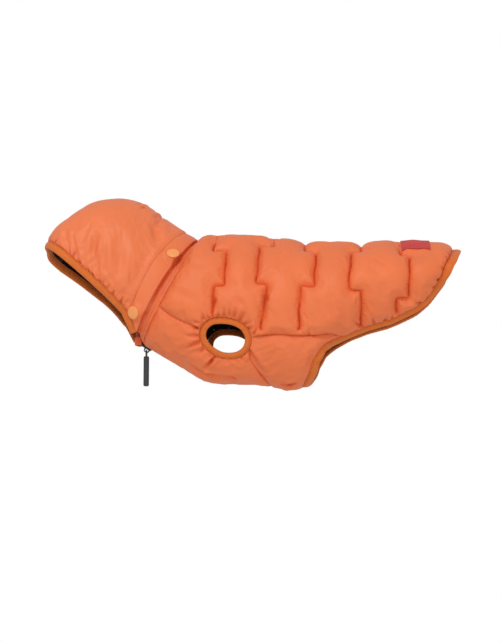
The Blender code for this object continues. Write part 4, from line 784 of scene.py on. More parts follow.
HOOD_FOLDS = [Fold(*row) for row in (
    # up from the face binding
    (-186, 4, -182, -21, 3.5, 2.0), (-179, -2, -174, -26, 2.6, 2.2),
    (-153, -3, -154, -38, 4.0, 2.1), (-149, -30, -149, -53, 2.6, 1.8),
    (-143, -11, -142, -42, 4.0, 1.5), (-126, -7, -126, -43, 7.0, 2.4),
    (-146, -42, -131, -63, 2.2, -1.0),
    # down from the centre seam
    (-88, 20, -88, -11, 5.0, 2.4), (-108, 40, -100, 36, 2.4, 2.6), (-90, 25, -81, 30, 2.6, 2.6),
    # beside the band
    (-113, -22, -124, -60, 4.5, -1.0), (-97, -27, -111, -58, 5.0, 1.6),
)]
RIGHT_SHIFT, RIGHT_DEPTH = 3.5, 0.85  # how the right side's folds differ from the left's
RIDGE, RIDGE_AT, RIDGE_WIDTH = 0.35, 1.7, 0.8  # a trough's low ridges, in its widths
TAPER_START, TAPER_RUN, TAPER_POWER = 0.12, 0.76, 0.8
DARKEST_FOLD, DARKEST_PUCKER = 3.0, 1.8  # how deep each is where its painted shade is full

# A pucker is deepest at its first spot, on the seam that pinches it, and fades
# out at its second. Its painted shade is darkest where it is pinched.
Pucker = namedtuple("Pucker", "x1 z1 x2 z2 wide deep")
BODY_PUCKERS = [Pucker(*row) for row in (
    # over the leg hole
    (-26, -92, -28, -82, 1.8, 2.8), (-21, -91, -22, -83, 1.6, 2.2), (-11, -90, -9, -81, 1.8, 2.2),
    (-4, -89, -3, -79, 1.7, 2.0), (2, -89, 2, -77, 1.8, 2.2), (7, -90, 10, -81, 1.6, 2.6),
    (13, -94, 22, -81, 2.0, 2.8), (19, -98, 30, -95, 1.6, 1.8), (22, -103, 29, -102, 1.6, 2.2),
    # the feet of two quilting lines beside it
    (-14, -74, -16, -60, 2.4, 1.5), (-14, -74, -17, -90, 2.6, 1.5), (42, -71, 43, -57, 2.6, 1.5),
    (42, -71, 36, -95, 2.6, 1.5), (28, -108, 35, -99, 1.8, 2.2),
    # in front of it
    (-32, -96, -40, -92, 1.6, 1.8), (-34, -101, -43, -100, 1.7, 2.2),
    (-34, -110, -53, -107, 1.9, 2.6), (-31, -116, -55, -123, 2.0, 3.0),
    (-25, -121, -36, -130, 2.1, 2.6),
    # under it
    (-17, -126, -25, -134, 1.7, 2.2), (-12, -129, -24, -139, 1.6, 4.0),
    (-20, -136, -31, -145, 1.6, 3.0), (-20, -136, -13, -130, 1.6, 2.0),
    (-3, -131, -2, -139, 1.7, 2.4), (4, -131, 7, -138, 1.6, 1.8), (12, -130, 16, -138, 1.7, 2.4),
    (23, -127, 43, -156, 2.6, 2.8),
    # the near edges of the chest and the belly, with the other side below
    (-26, -147, -45, -137, 1.5, 2.0), (-26, -147, -9, -150, 1.5, 2.4),
    (5, -151, -9, -150, 1.5, 2.0), (66, -159, 50, -157, 1.5, 1.8), (66, -159, 80, -156, 1.5, 2.0),
    # along the hem
    (88, -109, 87, -101, 1.6, 1.8), (144, -95, 131, -86, 1.8, 1.8),
    (160, -91, 155, -80, 1.8, 2.2), (172, -89, 175, -79, 1.7, 2.2),
    (180, -86, 180, -78, 1.6, 1.6), (212, -70, 200, -68, 1.7, 2.2),
    (226, -54, 219, -51, 1.6, 2.2), (232, -47, 224, -44, 1.6, 2.2),
    (238, -37, 230, -36, 1.6, 2.0),
)]
HOOD_PUCKERS = [Pucker(*row) for row in (
    (-181, -23, -183, -15, 1.6, 1.6), (-170, -34, -173, -23, 1.7, 1.8),
    (-160, -43, -162, -34, 1.6, 2.2), (-155, -49, -156, -40, 1.6, 2.2),
    (-148, -56, -147, -47, 1.6, 2.4), (-143, -60, -143, -52, 1.6, 2.2),
    (-133, -69, -130, -60, 1.7, 2.4), (-124, -76, -120, -65, 1.8, 2.0),
    (-84, 25, -89, 12, 1.7, 1.8), (-103, 38, -108, 28, 1.7, 1.8),
)]
PUCKER_FLOOR = 1.9            # how low a pucker may press the cloth beside its seam
PUCKER_SPREAD = 0.5           # how much wider it is where it fades out
NOISE_WAVES, NOISE_PACE, NOISE_GAIN = 14, 2.2, 1.9


def along_fold(points, fold):
    """How far along a fold points are, and how far from it in its widths."""
    right = points[:, 1] > 0
    seen = points[:, (0, 2)] + np.where(right[:, None], (RIGHT_SHIFT, 0.0), (0.0, 0.0))
    start, end = np.array([fold.x1, fold.z1]), np.array([fold.x2, fold.z2])
    run = end - start
    share = np.clip((seen - start) @ run / (run @ run), 0.0, 1.0)
    return share, np.linalg.norm(seen - (start + share[:, None] * run), axis=1) / fold.wide


def trough(gap):
    """A soft trough with a low ridge on either side."""
    return np.exp(-gap**2) - RIDGE * np.exp(-((gap - RIDGE_AT) / RIDGE_WIDTH) ** 2)


def folded(points, folds):
    """What the listed folds add to the heights of points, and how much painted shade they get."""
    added, shaded = np.zeros(len(points)), np.zeros(len(points))
    right = points[:, 1] > 0
    for fold in folds:
        share, gap = along_fold(points, fold)
        shown = 1.0 if fold.side == 0 else right == (fold.side > 0)
        taper = shown * np.sin(math.pi * (TAPER_START + TAPER_RUN * share)) ** TAPER_POWER
        added -= fold.deep * taper * trough(gap)
        shaded = np.maximum(shaded, taper * np.exp(-gap**2) * min(1.0, fold.deep / DARKEST_FOLD))
    return added * np.where(right, RIGHT_DEPTH, 1.0), shaded


def pinched(points, puckers, edge_gap):
    """How far into a pucker each point is, from 0 to 1, and what that adds to its height."""
    strength, lower = np.zeros(len(points)), np.zeros(len(points))
    for pucker in puckers:
        share, gap = along_fold(points, pucker)
        gap = gap / (1 + PUCKER_SPREAD * share)
        fade = (1 - share) ** TAPER_POWER
        lower += pucker.deep * fade * trough(gap)
        strength = np.maximum(strength, np.exp(-gap**2) * fade
                              * min(1.0, pucker.deep / DARKEST_PUCKER))
    return strength, -np.minimum(lower, PUCKER_FLOOR + edge_gap)


def soft_noise(points, size, seed):
    """Smooth seeded noise between -1 and 1 at points, in features of a size."""
    draw = np.random.default_rng(seed)
    waves = draw.normal(size=(NOISE_WAVES, 3)) / size
    phases = draw.uniform(0, 2 * math.pi, NOISE_WAVES)
    return np.sin(points @ waves.T * NOISE_PACE + phases).mean(axis=1) * NOISE_GAIN


def rough(points, noises):
    """The unevenness of cloth at points, from rows of depth, size and seed."""
    return sum(deep * soft_noise(points, size, seed) for deep, size, seed in noises)


# ---- materials
def feed(tree, socket, value):
    """Give a socket a number, a colour or another node's value."""
    if isinstance(value, Shade):
        tree.links.new(value.socket, socket)
    else:
        socket.default_value = value


class Shade:
    """A value in a material that is worked with like a number."""

    def __init__(self, tree, socket):
        self.tree, self.socket = tree, socket

    def node(self, kind, settings=(), **inputs):
        """Add a node, with each input a number, a colour or another value."""
        made = self.tree.nodes.new(kind)
        for key, value in dict(settings).items():
            setattr(made, key, value)
        for key, value in inputs.items():
            numbered = key[0] == "i" and key[1:].isdigit()
            feed(self.tree, made.inputs[int(key[1:]) if numbered else key.replace("_", " ")], value)
        return made

    def get(self, made, output=0):
        return Shade(self.tree, made.outputs[output])

    def maths(self, operation, *others):
        made = self.node("ShaderNodeMath", {"operation": operation}, i0=self,
                         **{f"i{k + 1}": v for k, v in enumerate(others)})
        return self.get(made)

    def __add__(self, other):
        return self.maths("ADD", other)

    def __mul__(self, other):
        return self.maths("MULTIPLY", other)

    def __rsub__(self, other):
        return self * -1.0 + other

    __radd__, __rmul__ = __add__, __mul__

    def step(self, low, high):
        """0 below low, 1 above high and smooth between them."""
        made = self.node("ShaderNodeMapRange", {"interpolation_type": "SMOOTHSTEP"},
                         Value=self, From_Min=low, From_Max=high)
        return self.get(made)

    def between(self, first, second):
        """A mix of two colours by this value."""
        made = self.node("ShaderNodeMix", {"data_type": "RGBA"}, i0=self, i6=first, i7=second)
        return self.get(made, 2)


class Look:
    """A procedural material under construction."""

    def __init__(self, name):
        self.material = bpy.data.materials.new(name)
        self.material.use_nodes = True
        self.tree = self.material.node_tree
        self.shader = self.tree.nodes["Principled BSDF"]
        self.start = Shade(self.tree, None)
        self.where = self.start.get(self.start.node("ShaderNodeTexCoord"), 3)

    def attribute(self, name):
        made = self.start.node("ShaderNodeAttribute", {"attribute_name": name})
        return self.start.get(made, 2)

    def noise(self, size_mm, detail=2.0, stretch=None):
        """Noise with features of a size, perhaps stretched along the axes."""
        where = self.where
        if stretch is not None:
            made = self.start.node("ShaderNodeMapping", i0=where, Scale=stretch)
            where = self.start.get(made)
        made = self.start.node("ShaderNodeTexNoise", Vector=where, Scale=1000.0 / size_mm,
                               Detail=detail)
        return self.start.get(made)

    def put(self, **inputs):
        for key, value in inputs.items():
            feed(self.tree, self.shader.inputs[key.replace("_", " ")], value)

    def bump(self, height, deep_mm):
        made = self.start.node("ShaderNodeBump", Strength=1.0, Distance=deep_mm * MM,
                               Height=height)
        self.put(Normal=self.start.get(made))


def rgba(colour, share=1.0):
    return tuple(c * share for c in colour) + (1.0,)


SHELL_TONE_MM, SHELL_TONES = 38.0, (0.93, 1.05)
# Painted shade in creases: how far it reaches from a seam, and patches of it.
CREASE_SHADE_REACH = 1.9
CREASE_SHADE_PATCH_MM, CREASE_SHADE_PATCHES = 20.0, (0.36, 0.66)
CREASE_SHADE_VARIES, CREASE_SHADE_LEAST = 0.62, 0.26
CRUMPLES = ((9.0, 3.0, (1.0, 1.0, 0.7), 0.75), (3.0, 2.0, None, 0.18))  # mm, detail, stretch, share
WEAVE_MM, WEAVE_SHARE = 0.55, 0.10
GLOSS_MM, GLOSS_VARIES = 1.1, 0.16


def shell_look(name, colour, crease, roughness=0.50, crumple_deep=0.36):
    """Thin satin shell cloth: a fine weave, faint crumple and painted shade in its sewn creases."""
    look = Look(name)
    # sewn is how near a seam, fold or pit a place counts; near one, the colour turns to painted
    # shade.
    sewn = look.attribute("sewn")
    light, dark = (rgba(colour, share) for share in SHELL_TONES)
    tone = look.noise(SHELL_TONE_MM).between(light, dark)
    shade_patches = look.noise(CREASE_SHADE_PATCH_MM).step(*CREASE_SHADE_PATCHES) * CREASE_SHADE_VARIES + CREASE_SHADE_LEAST
    near = (1.0 - sewn.step(0.0, CREASE_SHADE_REACH)) * shade_patches
    look.put(Base_Color=near.between(tone, rgba(crease)),
             Roughness=look.noise(GLOSS_MM) * GLOSS_VARIES + (roughness - GLOSS_VARIES / 2),
             Sheen_Weight=0.02, Sheen_Roughness=0.4, Specular_IOR_Level=0.3)
    height = look.noise(WEAVE_MM, 1.0) * WEAVE_SHARE
    for size, detail, stretch, share in CRUMPLES:
        height = look.noise(size, detail, stretch) * share + height
    look.bump(height, crumple_deep)
    return look.material


def plain_look(name, colour, roughness, metallic=0.0, grain_mm=0.6, grain_deep=0.06,
               tone=0.12):
    """A plain surface with a fine grain."""
    look = Look(name)
    grain = look.noise(grain_mm, 2.0)
    look.put(Base_Color=look.noise(14.0).between(rgba(colour, 1 - tone), rgba(colour, 1 + tone)),
             Roughness=grain * 0.2 + (roughness - 0.1), Metallic=metallic)
    look.bump(grain, grain_deep)
    return look.material


RIB_LENGTH, RIB_SHARE = 0.9, 0.10
STITCH_REACH, STITCH_SHADE, STITCH_SHADE_TONE = 1.1, 0.24, 0.45


def binding_look(name, colour):
    """Ribbed binding cloth, with painted shade in its creases and along its stitches."""
    look = Look(name)
    # Near the seam and in the stitched groove the colour darkens as painted shade.
    near = (1.0 - look.attribute("sewn").step(0.0, STITCH_REACH)) * STITCH_SHADE
    tone = look.noise(6.0).between(rgba(colour, 0.86), rgba(colour, 1.10))
    look.put(Base_Color=near.between(tone, rgba(colour, STITCH_SHADE_TONE)), Roughness=0.72,
             Sheen_Weight=0.15, Sheen_Roughness=0.5, Specular_IOR_Level=0.25)
    rib = (look.attribute("walk") * (2 * math.pi / RIB_LENGTH)).maths("SINE") * RIB_SHARE
    look.bump(look.noise(2.4, 2.0) * 0.8 + rib, 0.5)
    return look.material


shell = shell_look("shell", SHELL_ORANGE, CREASE_SHADE_RED)
hood_shell = shell_look("hood_shell", HOOD_ORANGE, CREASE_SHADE_RED, roughness=0.44, crumple_deep=0.30)
binding_cloth = binding_look("binding", BINDING_ORANGE)
lining = plain_look("lining", LINING_BLACK, 0.24, grain_mm=6.0, grain_deep=1.6, tone=0.3)
label_cloth = plain_look("label_cloth", LABEL_RED, 0.6, grain_mm=0.5, grain_deep=0.12)
zip_cloth = plain_look("zip_cloth", ZIP_BLACK, 0.6, grain_mm=0.7, grain_deep=0.15)
zip_teeth_look = plain_look("zip_teeth", (0.022, 0.022, 0.026), 0.35)
metal = plain_look("slider_metal", METAL_GREY, 0.34, metallic=0.9, grain_mm=2.0, grain_deep=0.03)
rubber = plain_look("pull_rubber", RUBBER_GREY, 0.46, grain_mm=0.8, grain_deep=0.04)
snap_plastic = plain_look("snap_plastic", SNAP_ORANGE, 0.38, grain_mm=2.5, grain_deep=0.02,
                          tone=0.03)


# ---- making meshes
def make_piece(name, points, faces, materials, face_slots=None, sharp=52.0, attributes=None):
    """One piece from points in millimetres, its faces turned outwards."""
    mesh = bpy.data.meshes.new(name)
    mesh.from_pydata((np.asarray(points) * MM).tolist(), [], [tuple(map(int, f)) for f in faces])
    mesh.update()
    if face_slots is not None:
        mesh.polygons.foreach_set("material_index", np.asarray(face_slots, np.int32))
    mesh.calc_loop_triangles()
    corners = np.array([t.vertices[:] for t in mesh.loop_triangles])
    a, b, c = (np.asarray(points)[corners[:, k]] for k in range(3))
    if np.einsum("ij,ij->i", a, np.cross(b, c)).sum() < 0:
        mesh.flip_normals()
    mesh.shade_smooth()
    mesh.set_sharp_from_angle(angle=math.radians(sharp))
    for made in materials:
        mesh.materials.append(made)
    for key, values in (attributes or {}).items():
        layer = mesh.attributes.new(key, "FLOAT", "POINT")
        layer.data.foreach_set("value", np.asarray(values, np.float32))
    return add_object(name, mesh)


def declare(piece, slot, *nodes):
    """What the piece stands for and rides on; its slot is not used."""
    if nodes:
        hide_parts(*nodes)
    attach(piece, "coat")


def refined(faces, points, outs, held, *tables):
    """Split each triangle in four along a smooth surface, and halve the tables' steps."""
    pairs = np.sort(np.vstack([faces[:, (0, 1)], faces[:, (1, 2)], faces[:, (2, 0)]]), axis=1)
    edges, index = np.unique(pairs, axis=0, return_inverse=True)
    ab, bc, ca = index.reshape(3, -1) + len(points)
    a, b, c = faces.T
    split = np.vstack([np.stack(f, axis=1) for f in ((a, ab, ca), (ab, b, bc), (ca, bc, c),
                                                     (ab, bc, ca))])
    cross = np.cross(points[b] - points[a], points[c] - points[a])
    normals = np.zeros_like(points)
    for corner in (a, b, c):
        np.add.at(normals, corner, cross)
    normals = unit(normals)
    first, last = edges.T
    run = points[last] - points[first]
    bend = (np.einsum("ij,ij->i", run, normals[first])[:, None] * normals[first]
            - np.einsum("ij,ij->i", run, normals[last])[:, None] * normals[last]) / 8
    bend[held[first] | held[last]] = 0.0
    middles = (points[first] + points[last]) / 2 - bend
    grown = [np.concatenate([t, (t[first] + t[last]) / 2]) for t in (outs,) + tables]
    return split, np.vstack([points, middles]), grown, edges


class Cloth:
    """A padded cloth piece: a fine shell over a plain lining, sewn at its rim."""

    def __init__(self, name, sheet, heights, detail, slot, node, look, fill, fuller,
                 place=None, flip=False):
        self.name, self.slot, self.node, self.look, self.fill = name, slot, node, look, fill
        self.sheet, self.detail, self.flip, self.place = sheet, detail, flip, place
        self.fuller, self.flat = fuller, sheet.raised(0.0)
        self.under = Sheet(sheet.skin, sheet.source, chart=sheet.chart, spacing=LINING_SPACING)
        points, outs = sheet.raised(heights), sheet.raised(1.0) - self.flat
        self.points = self.placed(points)
        self.out = self.placed(points + outs) - self.points
        self.inner = self.placed(self.under.raised(0.0))

    def placed(self, points):
        """Points of the left piece where this one is."""
        if self.flip:
            points = points * MIRROR
        return points if self.place is None else self.place(points)

    def outward_faces(self):
        """The shell's triangles, turned outwards."""
        faces = self.sheet.faces
        a, b, c = (self.points[faces[:, k]] for k in range(3))
        facing = np.einsum("ij,ij->i", np.cross(b - a, c - a), self.out[faces[:, 0]]).sum()
        return faces if facing > 0 else faces[:, ::-1]

    def build(self):
        faces, points, (out, spots, flat), edges = refined(
            self.outward_faces(), self.points, self.out, self.sheet.sewn, self.sheet.spots,
            self.flat)
        # sewn is how near a seam or crease each place counts, which sets its painted shade.
        lift, sewn = self.detail(spots, flat)
        points = points + out * lift[:, None]
        rim = np.array(self.sheet.rim)
        after = np.roll(rim, -1)
        keys = edges[:, 0] * len(self.points) + edges[:, 1]
        wanted = np.minimum(rim, after) * len(self.points) + np.maximum(rim, after)
        middle = len(self.points) + np.searchsorted(keys, wanted)
        under = np.array(self.under.rim) + len(points)
        walls = np.stack([under, np.roll(under, -1), after, middle, rim], axis=1)
        inner = self.under.faces[:, ::-1] + len(points)
        if self.outward_faces() is not self.sheet.faces:
            walls, inner = walls[:, ::-1], inner[:, ::-1]
        slots = [0] * (len(faces) + len(walls)) + [1] * len(inner)
        piece = make_piece(self.name, np.vstack([points, self.inner]),
                           faces.tolist() + walls.tolist() + inner.tolist(),
                           [self.look, lining], slots,
                           attributes={"sewn": np.append(
                               sewn, np.full(len(self.inner), LINING_NO_SHADE))})
        declare(piece, self.slot, self.node)


# ---- body panels
NARROW = 2.5                  # how near to its sewing cloth keeps its plain form
LINING_NO_SHADE = 20.0            # no painted seam shade on the lining
MIRROR = np.array([1.0, -1.0, 1.0])
# How the painted shade of seams, folds and pits is softened, capped and darkened.
SOFT_EDGE, SOFT_EDGE_REACH = 1.3, 3.0
OPEN_SHADE, FOLD_SHADE = 1.9, 0.35
PIT_SHADE, PIT_SPREAD, PIT_DARK = 3.4, 1.5, 0.1
GATHER_SWELL, GATHER_REACH = 0.9, 6.0
BAND_SWELL, BAND_SWELL_REACH = 0.8, 4.0
FULL_SHARE, FULL_REACH = 1.3, 12.0
BACK_ROUGH = ((0.45, 17.0, 3), (0.25, 8.0, 4))
CHEST_ROUGH = ((0.5, 19.0, 5), (0.2, 8.0, 6))
HOOD_ROUGH = ((0.7, 26.0, 7), (0.2, 9.0, 8))
SIDES = ("left", "right")


def left_of(places):
    """The same places on the left side."""
    return np.stack([places[:, 0], -np.abs(places[:, 1])], axis=1)


def detail_of(outline, gathers, folds, puckers, soft_edge, lines=(), mirror=False):
    """The folds, pits and painted shade of a piece, worked out at the places of its fine mesh.

    The painted shade of the seam shows less along the soft edge. A piece with lines lies on both
    sides.
    """
    seam = np.vstack([divided(outline, FINE_SEAM_DOTS, closed=True)]
                     + [divided(line, FINE_SEAM_DOTS) for line in lines])

    def detail(spots, flat):
        gap = nearest(spots, seam)[1]
        seen = flat * MIRROR if mirror else flat
        left = left_of(spots) if lines else spots
        lift, shaded = folded(seen, folds)
        lift = lift * np.clip(gap / NARROW, 0.0, 1.0)
        soft = nearest(left, soft_edge)[1] / SOFT_EDGE_REACH
        shade = gap + SOFT_EDGE * np.exp(-soft**2)
        shade = np.minimum(shade, OPEN_SHADE * (1.0 - FOLD_SHADE * shaded))
        pits = [pleats.pits(left) for pleats in gathers] + [pinched(seen, puckers, gap)]
        for strength, lower in pits:
            lift = lift + lower
            dark = PIT_SHADE * np.clip(1 - PIT_SPREAD * strength, 0, 1) + PIT_DARK
            shade = np.minimum(shade, dark)
        return lift, shade
    return detail


def fullness(places, edge):
    """Where a shell is cut fuller, because it is gathered into an edge."""
    return np.clip(FULL_SHARE - nearest(places, edge)[1] / FULL_REACH, 0.0, 1.0)


def gathered(places, edge, swell=GATHER_SWELL, reach=GATHER_REACH):
    """How much higher a shell stands along an edge that it is gathered into."""
    return swell * np.exp(-(nearest(places, edge)[1] / reach) ** 2)


leg_and_shoulder = np.vstack([leg_loop, front_side_seam])
back_sheet = Sheet(body, back_outline, quilting)
back_dots = np.vstack([with_slack(divided(back_outline, SEAM_DOTS, closed=True))]
                      + [with_slack(divided(line, SEAM_DOTS), row.spine_slack)
                         for line, row in zip(quilting, QUILT_LINES)])
back_gap = nearest(with_slack(back_sheet.spots), back_dots)[1]
back_left = left_of(back_sheet.spots)
back_flat = back_sheet.raised(0.0)
back_heights = (pillow(back_gap, BACK_LOFT, BACK_LOFT_REACH) + gathered(back_left, leg_loop)
                + np.clip(back_gap / NARROW, 0.0, 1.0) * rough(back_flat, BACK_ROUGH))
hem_gathers = Gathers(hem_seam[side_seam_at:hem_middle], 24, 0.8, 4.0, 12, ends=0.08)
cloths = [Cloth("back_cloth", back_sheet, back_heights,
                detail_of(back_outline, (hem_gathers,), BODY_FOLDS, BODY_PUCKERS,
                          np.vstack([leg_and_shoulder] + quilting_steps), quilting),
                "shell", "back_panel", shell, 0.6, fullness(back_left, leg_loop))]


def both_sides(part, sheet, loft, reach, swell, noises, details, slot, look, fill, fuller,
               place=None):
    """A panel's left cloth and its right one, mirrored but for its unevenness and folds."""
    flat = sheet.raised(0.0)
    gap = nearest(sheet.spots, divided(sheet.source, SEAM_DOTS, closed=True))[1]
    for side in SIDES:
        mirror = side == "right"
        heights = (pillow(gap, loft, reach) + swell
                   + np.clip(gap / NARROW, 0.0, 1.0) * rough(flat * MIRROR if mirror else flat,
                                                             noises))
        cloths.append(Cloth(f"{part}_cloth_{side}", sheet, heights,
                            detail_of(sheet.source, *details, mirror=mirror), slot,
                            f"{part}_{side}", look, fill, fuller, place, mirror))


for part, outline in (("chest", chest_outline), ("belly", belly_outline)):
    sheet = Sheet(body, outline)
    both_sides(part, sheet, CHEST_LOFT, CHEST_LOFT_REACH, gathered(sheet.spots, leg_loop),
               CHEST_ROUGH, ((), BODY_FOLDS, BODY_PUCKERS, leg_and_shoulder), "shell", shell,
               0.4, fullness(sheet.spots, leg_loop))

# ---- hood
HOOD_FAN = 1.15               # radians that the hood's flat cut opens at the throat
HOOD_THROAT_MARGIN = 3.0
FACE_STEPS, CENTRE_STEPS, BAND_STEPS = 75, 95, 60


def hood_chart(places):
    """From the hood's flat fan to its skin: the throat is the fan's point."""
    radius = np.hypot(places[:, 0], places[:, 1])
    angle = np.arctan2(places[:, 0], places[:, 1])
    u = np.clip(angle / HOOD_FAN, 0.0, 1.0) * hood.length
    return u, radius - np.interp(u, HOOD_STATIONS, HOOD_THROAT_ARCS)


def on_fan(u, from_spine):
    """Places in the fan, from their stations and lengths from the spine."""
    radius = np.interp(u, HOOD_STATIONS, HOOD_THROAT_ARCS) - from_spine
    angle = u / hood.length * HOOD_FAN
    return np.stack(np.broadcast_arrays(radius * np.sin(angle), radius * np.cos(angle)), axis=-1)


face_arc, band_arc = float(HOOD_THROAT_ARCS[-1]), float(HOOD_THROAT_ARCS[0])
hood_face_edge = on_fan(hood.length, np.linspace(face_arc - HOOD_THROAT_MARGIN, 0.0, FACE_STEPS))
hood_centre_seam = on_fan(np.linspace(hood.length, 0.0, CENTRE_STEPS), 0.0)
hood_band_edge = on_fan(0.0, np.linspace(0.0, band_arc - HOOD_THROAT_MARGIN, BAND_STEPS))
hood_outline = join(hood_face_edge, hood_centre_seam, hood_band_edge)
hood_band_dots = divided(hood_band_edge, SEAM_DOTS)
hood_sheet = Sheet(hood, hood_outline, chart=hood_chart)
hood_gathers = (Gathers(hood_face_edge, 12, 0.9, 6.0, 21, ends=0.08),
                Gathers(hood_centre_seam, 13, 1.1, 5.0, 22, ends=0.05))
both_sides("hood", hood_sheet, HOOD_LOFT, HOOD_LOFT_REACH,
           gathered(hood_sheet.spots, hood_face_edge)
           + gathered(hood_sheet.spots, hood_band_dots, BAND_SWELL, BAND_SWELL_REACH),
           HOOD_ROUGH, (hood_gathers, HOOD_FOLDS, HOOD_PUCKERS, hood_band_dots), "hood_shell",
           hood_shell, 0.3, fullness(hood_sheet.spots, hood_face_edge), rolled)


SETTLE_FRAMES = 20
SETTLE_PRESSURE = 4.0
SETTLE_CAP = 4.0
SETTLE_MASS = 0.1
STRETCH_STIFFNESS, SHEAR_STIFFNESS, BENDING_STIFFNESS = 8.0, 4.0, 0.02
SLACK_PLAIN, SLACK_GATHERED = -0.012, -0.16
LEAST_FULLNESS = 0.02


def settle(cloths):
    """Let the shells billow between their seams, as the wadding pushes them out."""
    starts = np.vstack([c.points for c in cloths])
    shifts = np.cumsum([0] + [len(c.points) for c in cloths])
    faces = np.vstack([c.outward_faces() + shift for c, shift in zip(cloths, shifts)])
    mesh = bpy.data.meshes.new("settling")
    mesh.from_pydata((starts * MM).tolist(), [], faces.tolist())
    trial = add_object("settling", mesh)
    held = trial.vertex_groups.new(name="held")
    for index in np.flatnonzero(np.concatenate([c.sheet.sewn for c in cloths])):
        held.add([int(index)], 1.0, "REPLACE")
    fuller = trial.vertex_groups.new(name="fuller")
    share = np.concatenate([c.fuller for c in cloths])
    for level in np.unique(np.round(share[share > LEAST_FULLNESS], 1)):
        chosen = np.flatnonzero(np.round(share, 1) == level).tolist()
        fuller.add(chosen, float(level), "REPLACE")
    cloth = trial.modifiers.new("cloth", "CLOTH")
    settings = cloth.settings
    settings.quality = 4
    settings.mass = SETTLE_MASS
    settings.tension_stiffness = settings.compression_stiffness = STRETCH_STIFFNESS
    settings.shear_stiffness = SHEAR_STIFFNESS
    settings.bending_stiffness = BENDING_STIFFNESS
    settings.vertex_group_mass = "held"
    settings.vertex_group_shrink = "fuller"
    settings.shrink_min, settings.shrink_max = SLACK_PLAIN, SLACK_GATHERED
    settings.use_pressure = True
    settings.uniform_pressure_force = SETTLE_PRESSURE
    settings.effector_weights.gravity = 0.0
    cloth.collision_settings.use_collision = False
    cloth.collision_settings.use_self_collision = False
    cloth.point_cache.frame_start, cloth.point_cache.frame_end = 1, SETTLE_FRAMES
    scene = bpy.context.scene
    for step in range(1, SETTLE_FRAMES + 1):
        scene.frame_set(step)
    shaped = trial.evaluated_get(bpy.context.evaluated_depsgraph_get()).to_mesh()
    ends = np.empty(len(starts) * 3, np.float32)
    shaped.vertices.foreach_get("co", ends)
    scene.frame_set(1)
    bpy.data.objects.remove(trial, do_unlink=True)
    moves = ends.reshape(-1, 3) / MM - starts
    size = np.linalg.norm(moves, axis=1, keepdims=True)
    moves *= np.minimum(1.0, SETTLE_CAP / np.maximum(size, 1e-6))
    for c, low, high in zip(cloths, shifts, shifts[1:]):
        c.points = starts[low:high] + moves[low:high]


settle(cloths)
for cloth in cloths:
    cloth.build()


# ---- long thin pieces
def lofted(name, sections, materials, closed=False, place=None, sewn=None, walk=None,
           sharp=60.0, slots=None):
    """A closed piece through cross-sections that all have the same corners."""
    sections = np.asarray(sections, float)
    count, corners = sections.shape[:2]
    points = sections.reshape(-1, 3)
    rows = np.arange(count if closed else count - 1)
    i, a = (grid.ravel() for grid in np.meshgrid(rows, np.arange(corners), indexing="ij"))
    j, b = (i + 1) % count, (a + 1) % corners
    faces = np.stack([i * corners + a, i * corners + b, j * corners + b, j * corners + a],
                     axis=1).tolist()
    face_slots = None if slots is None else np.asarray(slots)[a].tolist()
    if not closed:
        faces += [tuple(reversed(range(corners))),
                  tuple((count - 1) * corners + k for k in range(corners))]
        if face_slots is not None:
            face_slots += [0, 0]
    if place is not None:
        points = place(points)
    attributes = {}
    if sewn is not None:
        attributes["sewn"] = np.broadcast_to(sewn, (count, corners)).ravel()
    if walk is not None:
        attributes["walk"] = np.repeat(walk, corners)
    return make_piece(name, points, faces, materials, face_slots, sharp, attributes)


SWELLS_FROM = 1.2             # a binding's puckers show above this height
PUCKERED = 0.6                # of its thickness that its puckers take up
PUCKER_LENGTH, PUCKER_DRIFT, PUCKER_DRIFT_LENGTH = 4.6, 0.8, 17.0
PUCKER_RISE, PUCKER_NOISE, PUCKER_NOISE_SIZE, PUCKER_MIDDLE = 0.34, 0.30, 7.0, 0.25


def binding_sections(points, normals, profile, closed=False, side=1.0, ends=None, swell=None):
    """Cross-sections of a binding: profile corners are (across, lift)."""
    if closed:
        heading = np.roll(points, -1, axis=0) - np.roll(points, 1, axis=0)
    else:
        heading = np.gradient(points, axis=0)
    across = unit(np.cross(unit(heading), normals) * side)
    if ends is not None:
        across[0], across[-1] = ends
    profile = np.asarray(profile, float)
    lifts = np.broadcast_to(profile[:, 1], (len(points), len(profile)))
    if swell is not None:
        lifts = lifts + np.where(profile[:, 1] > SWELLS_FROM, 1.0, 0.0) * swell[:, None]
    return (points[:, None] + across[:, None] * profile[None, :, :1]
            + normals[:, None] * lifts[..., None])


def binding_profile(width, thickness):
    """A folded binding's outline, with a stitched groove near the seam."""
    start, top = SEAM_GAP / 2, thickness - PUCKERED
    return ((start, 0.2), (start, top - 1.5), (start + 0.35, top - 0.7), (start + 1.0, top - 0.35),
            (1.7, top - 0.75), (2.3, top - 0.2), (width * 0.5, top), (width * 0.76, top - 0.25),
            (width * 0.93, top - 0.95), (width, top - 1.9), (width * 0.96, 0.5),
            (width * 0.8, -0.35), (width * 0.45, -0.6), (1.2, -0.2))


# How near a seam each profile corner counts, for painted shade at the seam and in the stitched
# groove.
BINDING_SHADE_GAPS = (0.6, 0.4, 0.8, 0.7, 0.0, 0.7, 9.0, 9.0, 9.0, 9.0, 9.0, 9.0, 9.0, 9.0)


def finer(curve, count, closed=False):
    """A broken line through the same places with more of them, evenly spaced."""
    curve = np.asarray(curve, float)
    if closed:
        curve = np.vstack([curve, curve[:1]])
    walked = walk_of(curve)
    wanted = np.linspace(0.0, walked[-1], count + (1 if closed else 0))
    found = resampled(curve, wanted, walked)
    return found[:-1] if closed else found


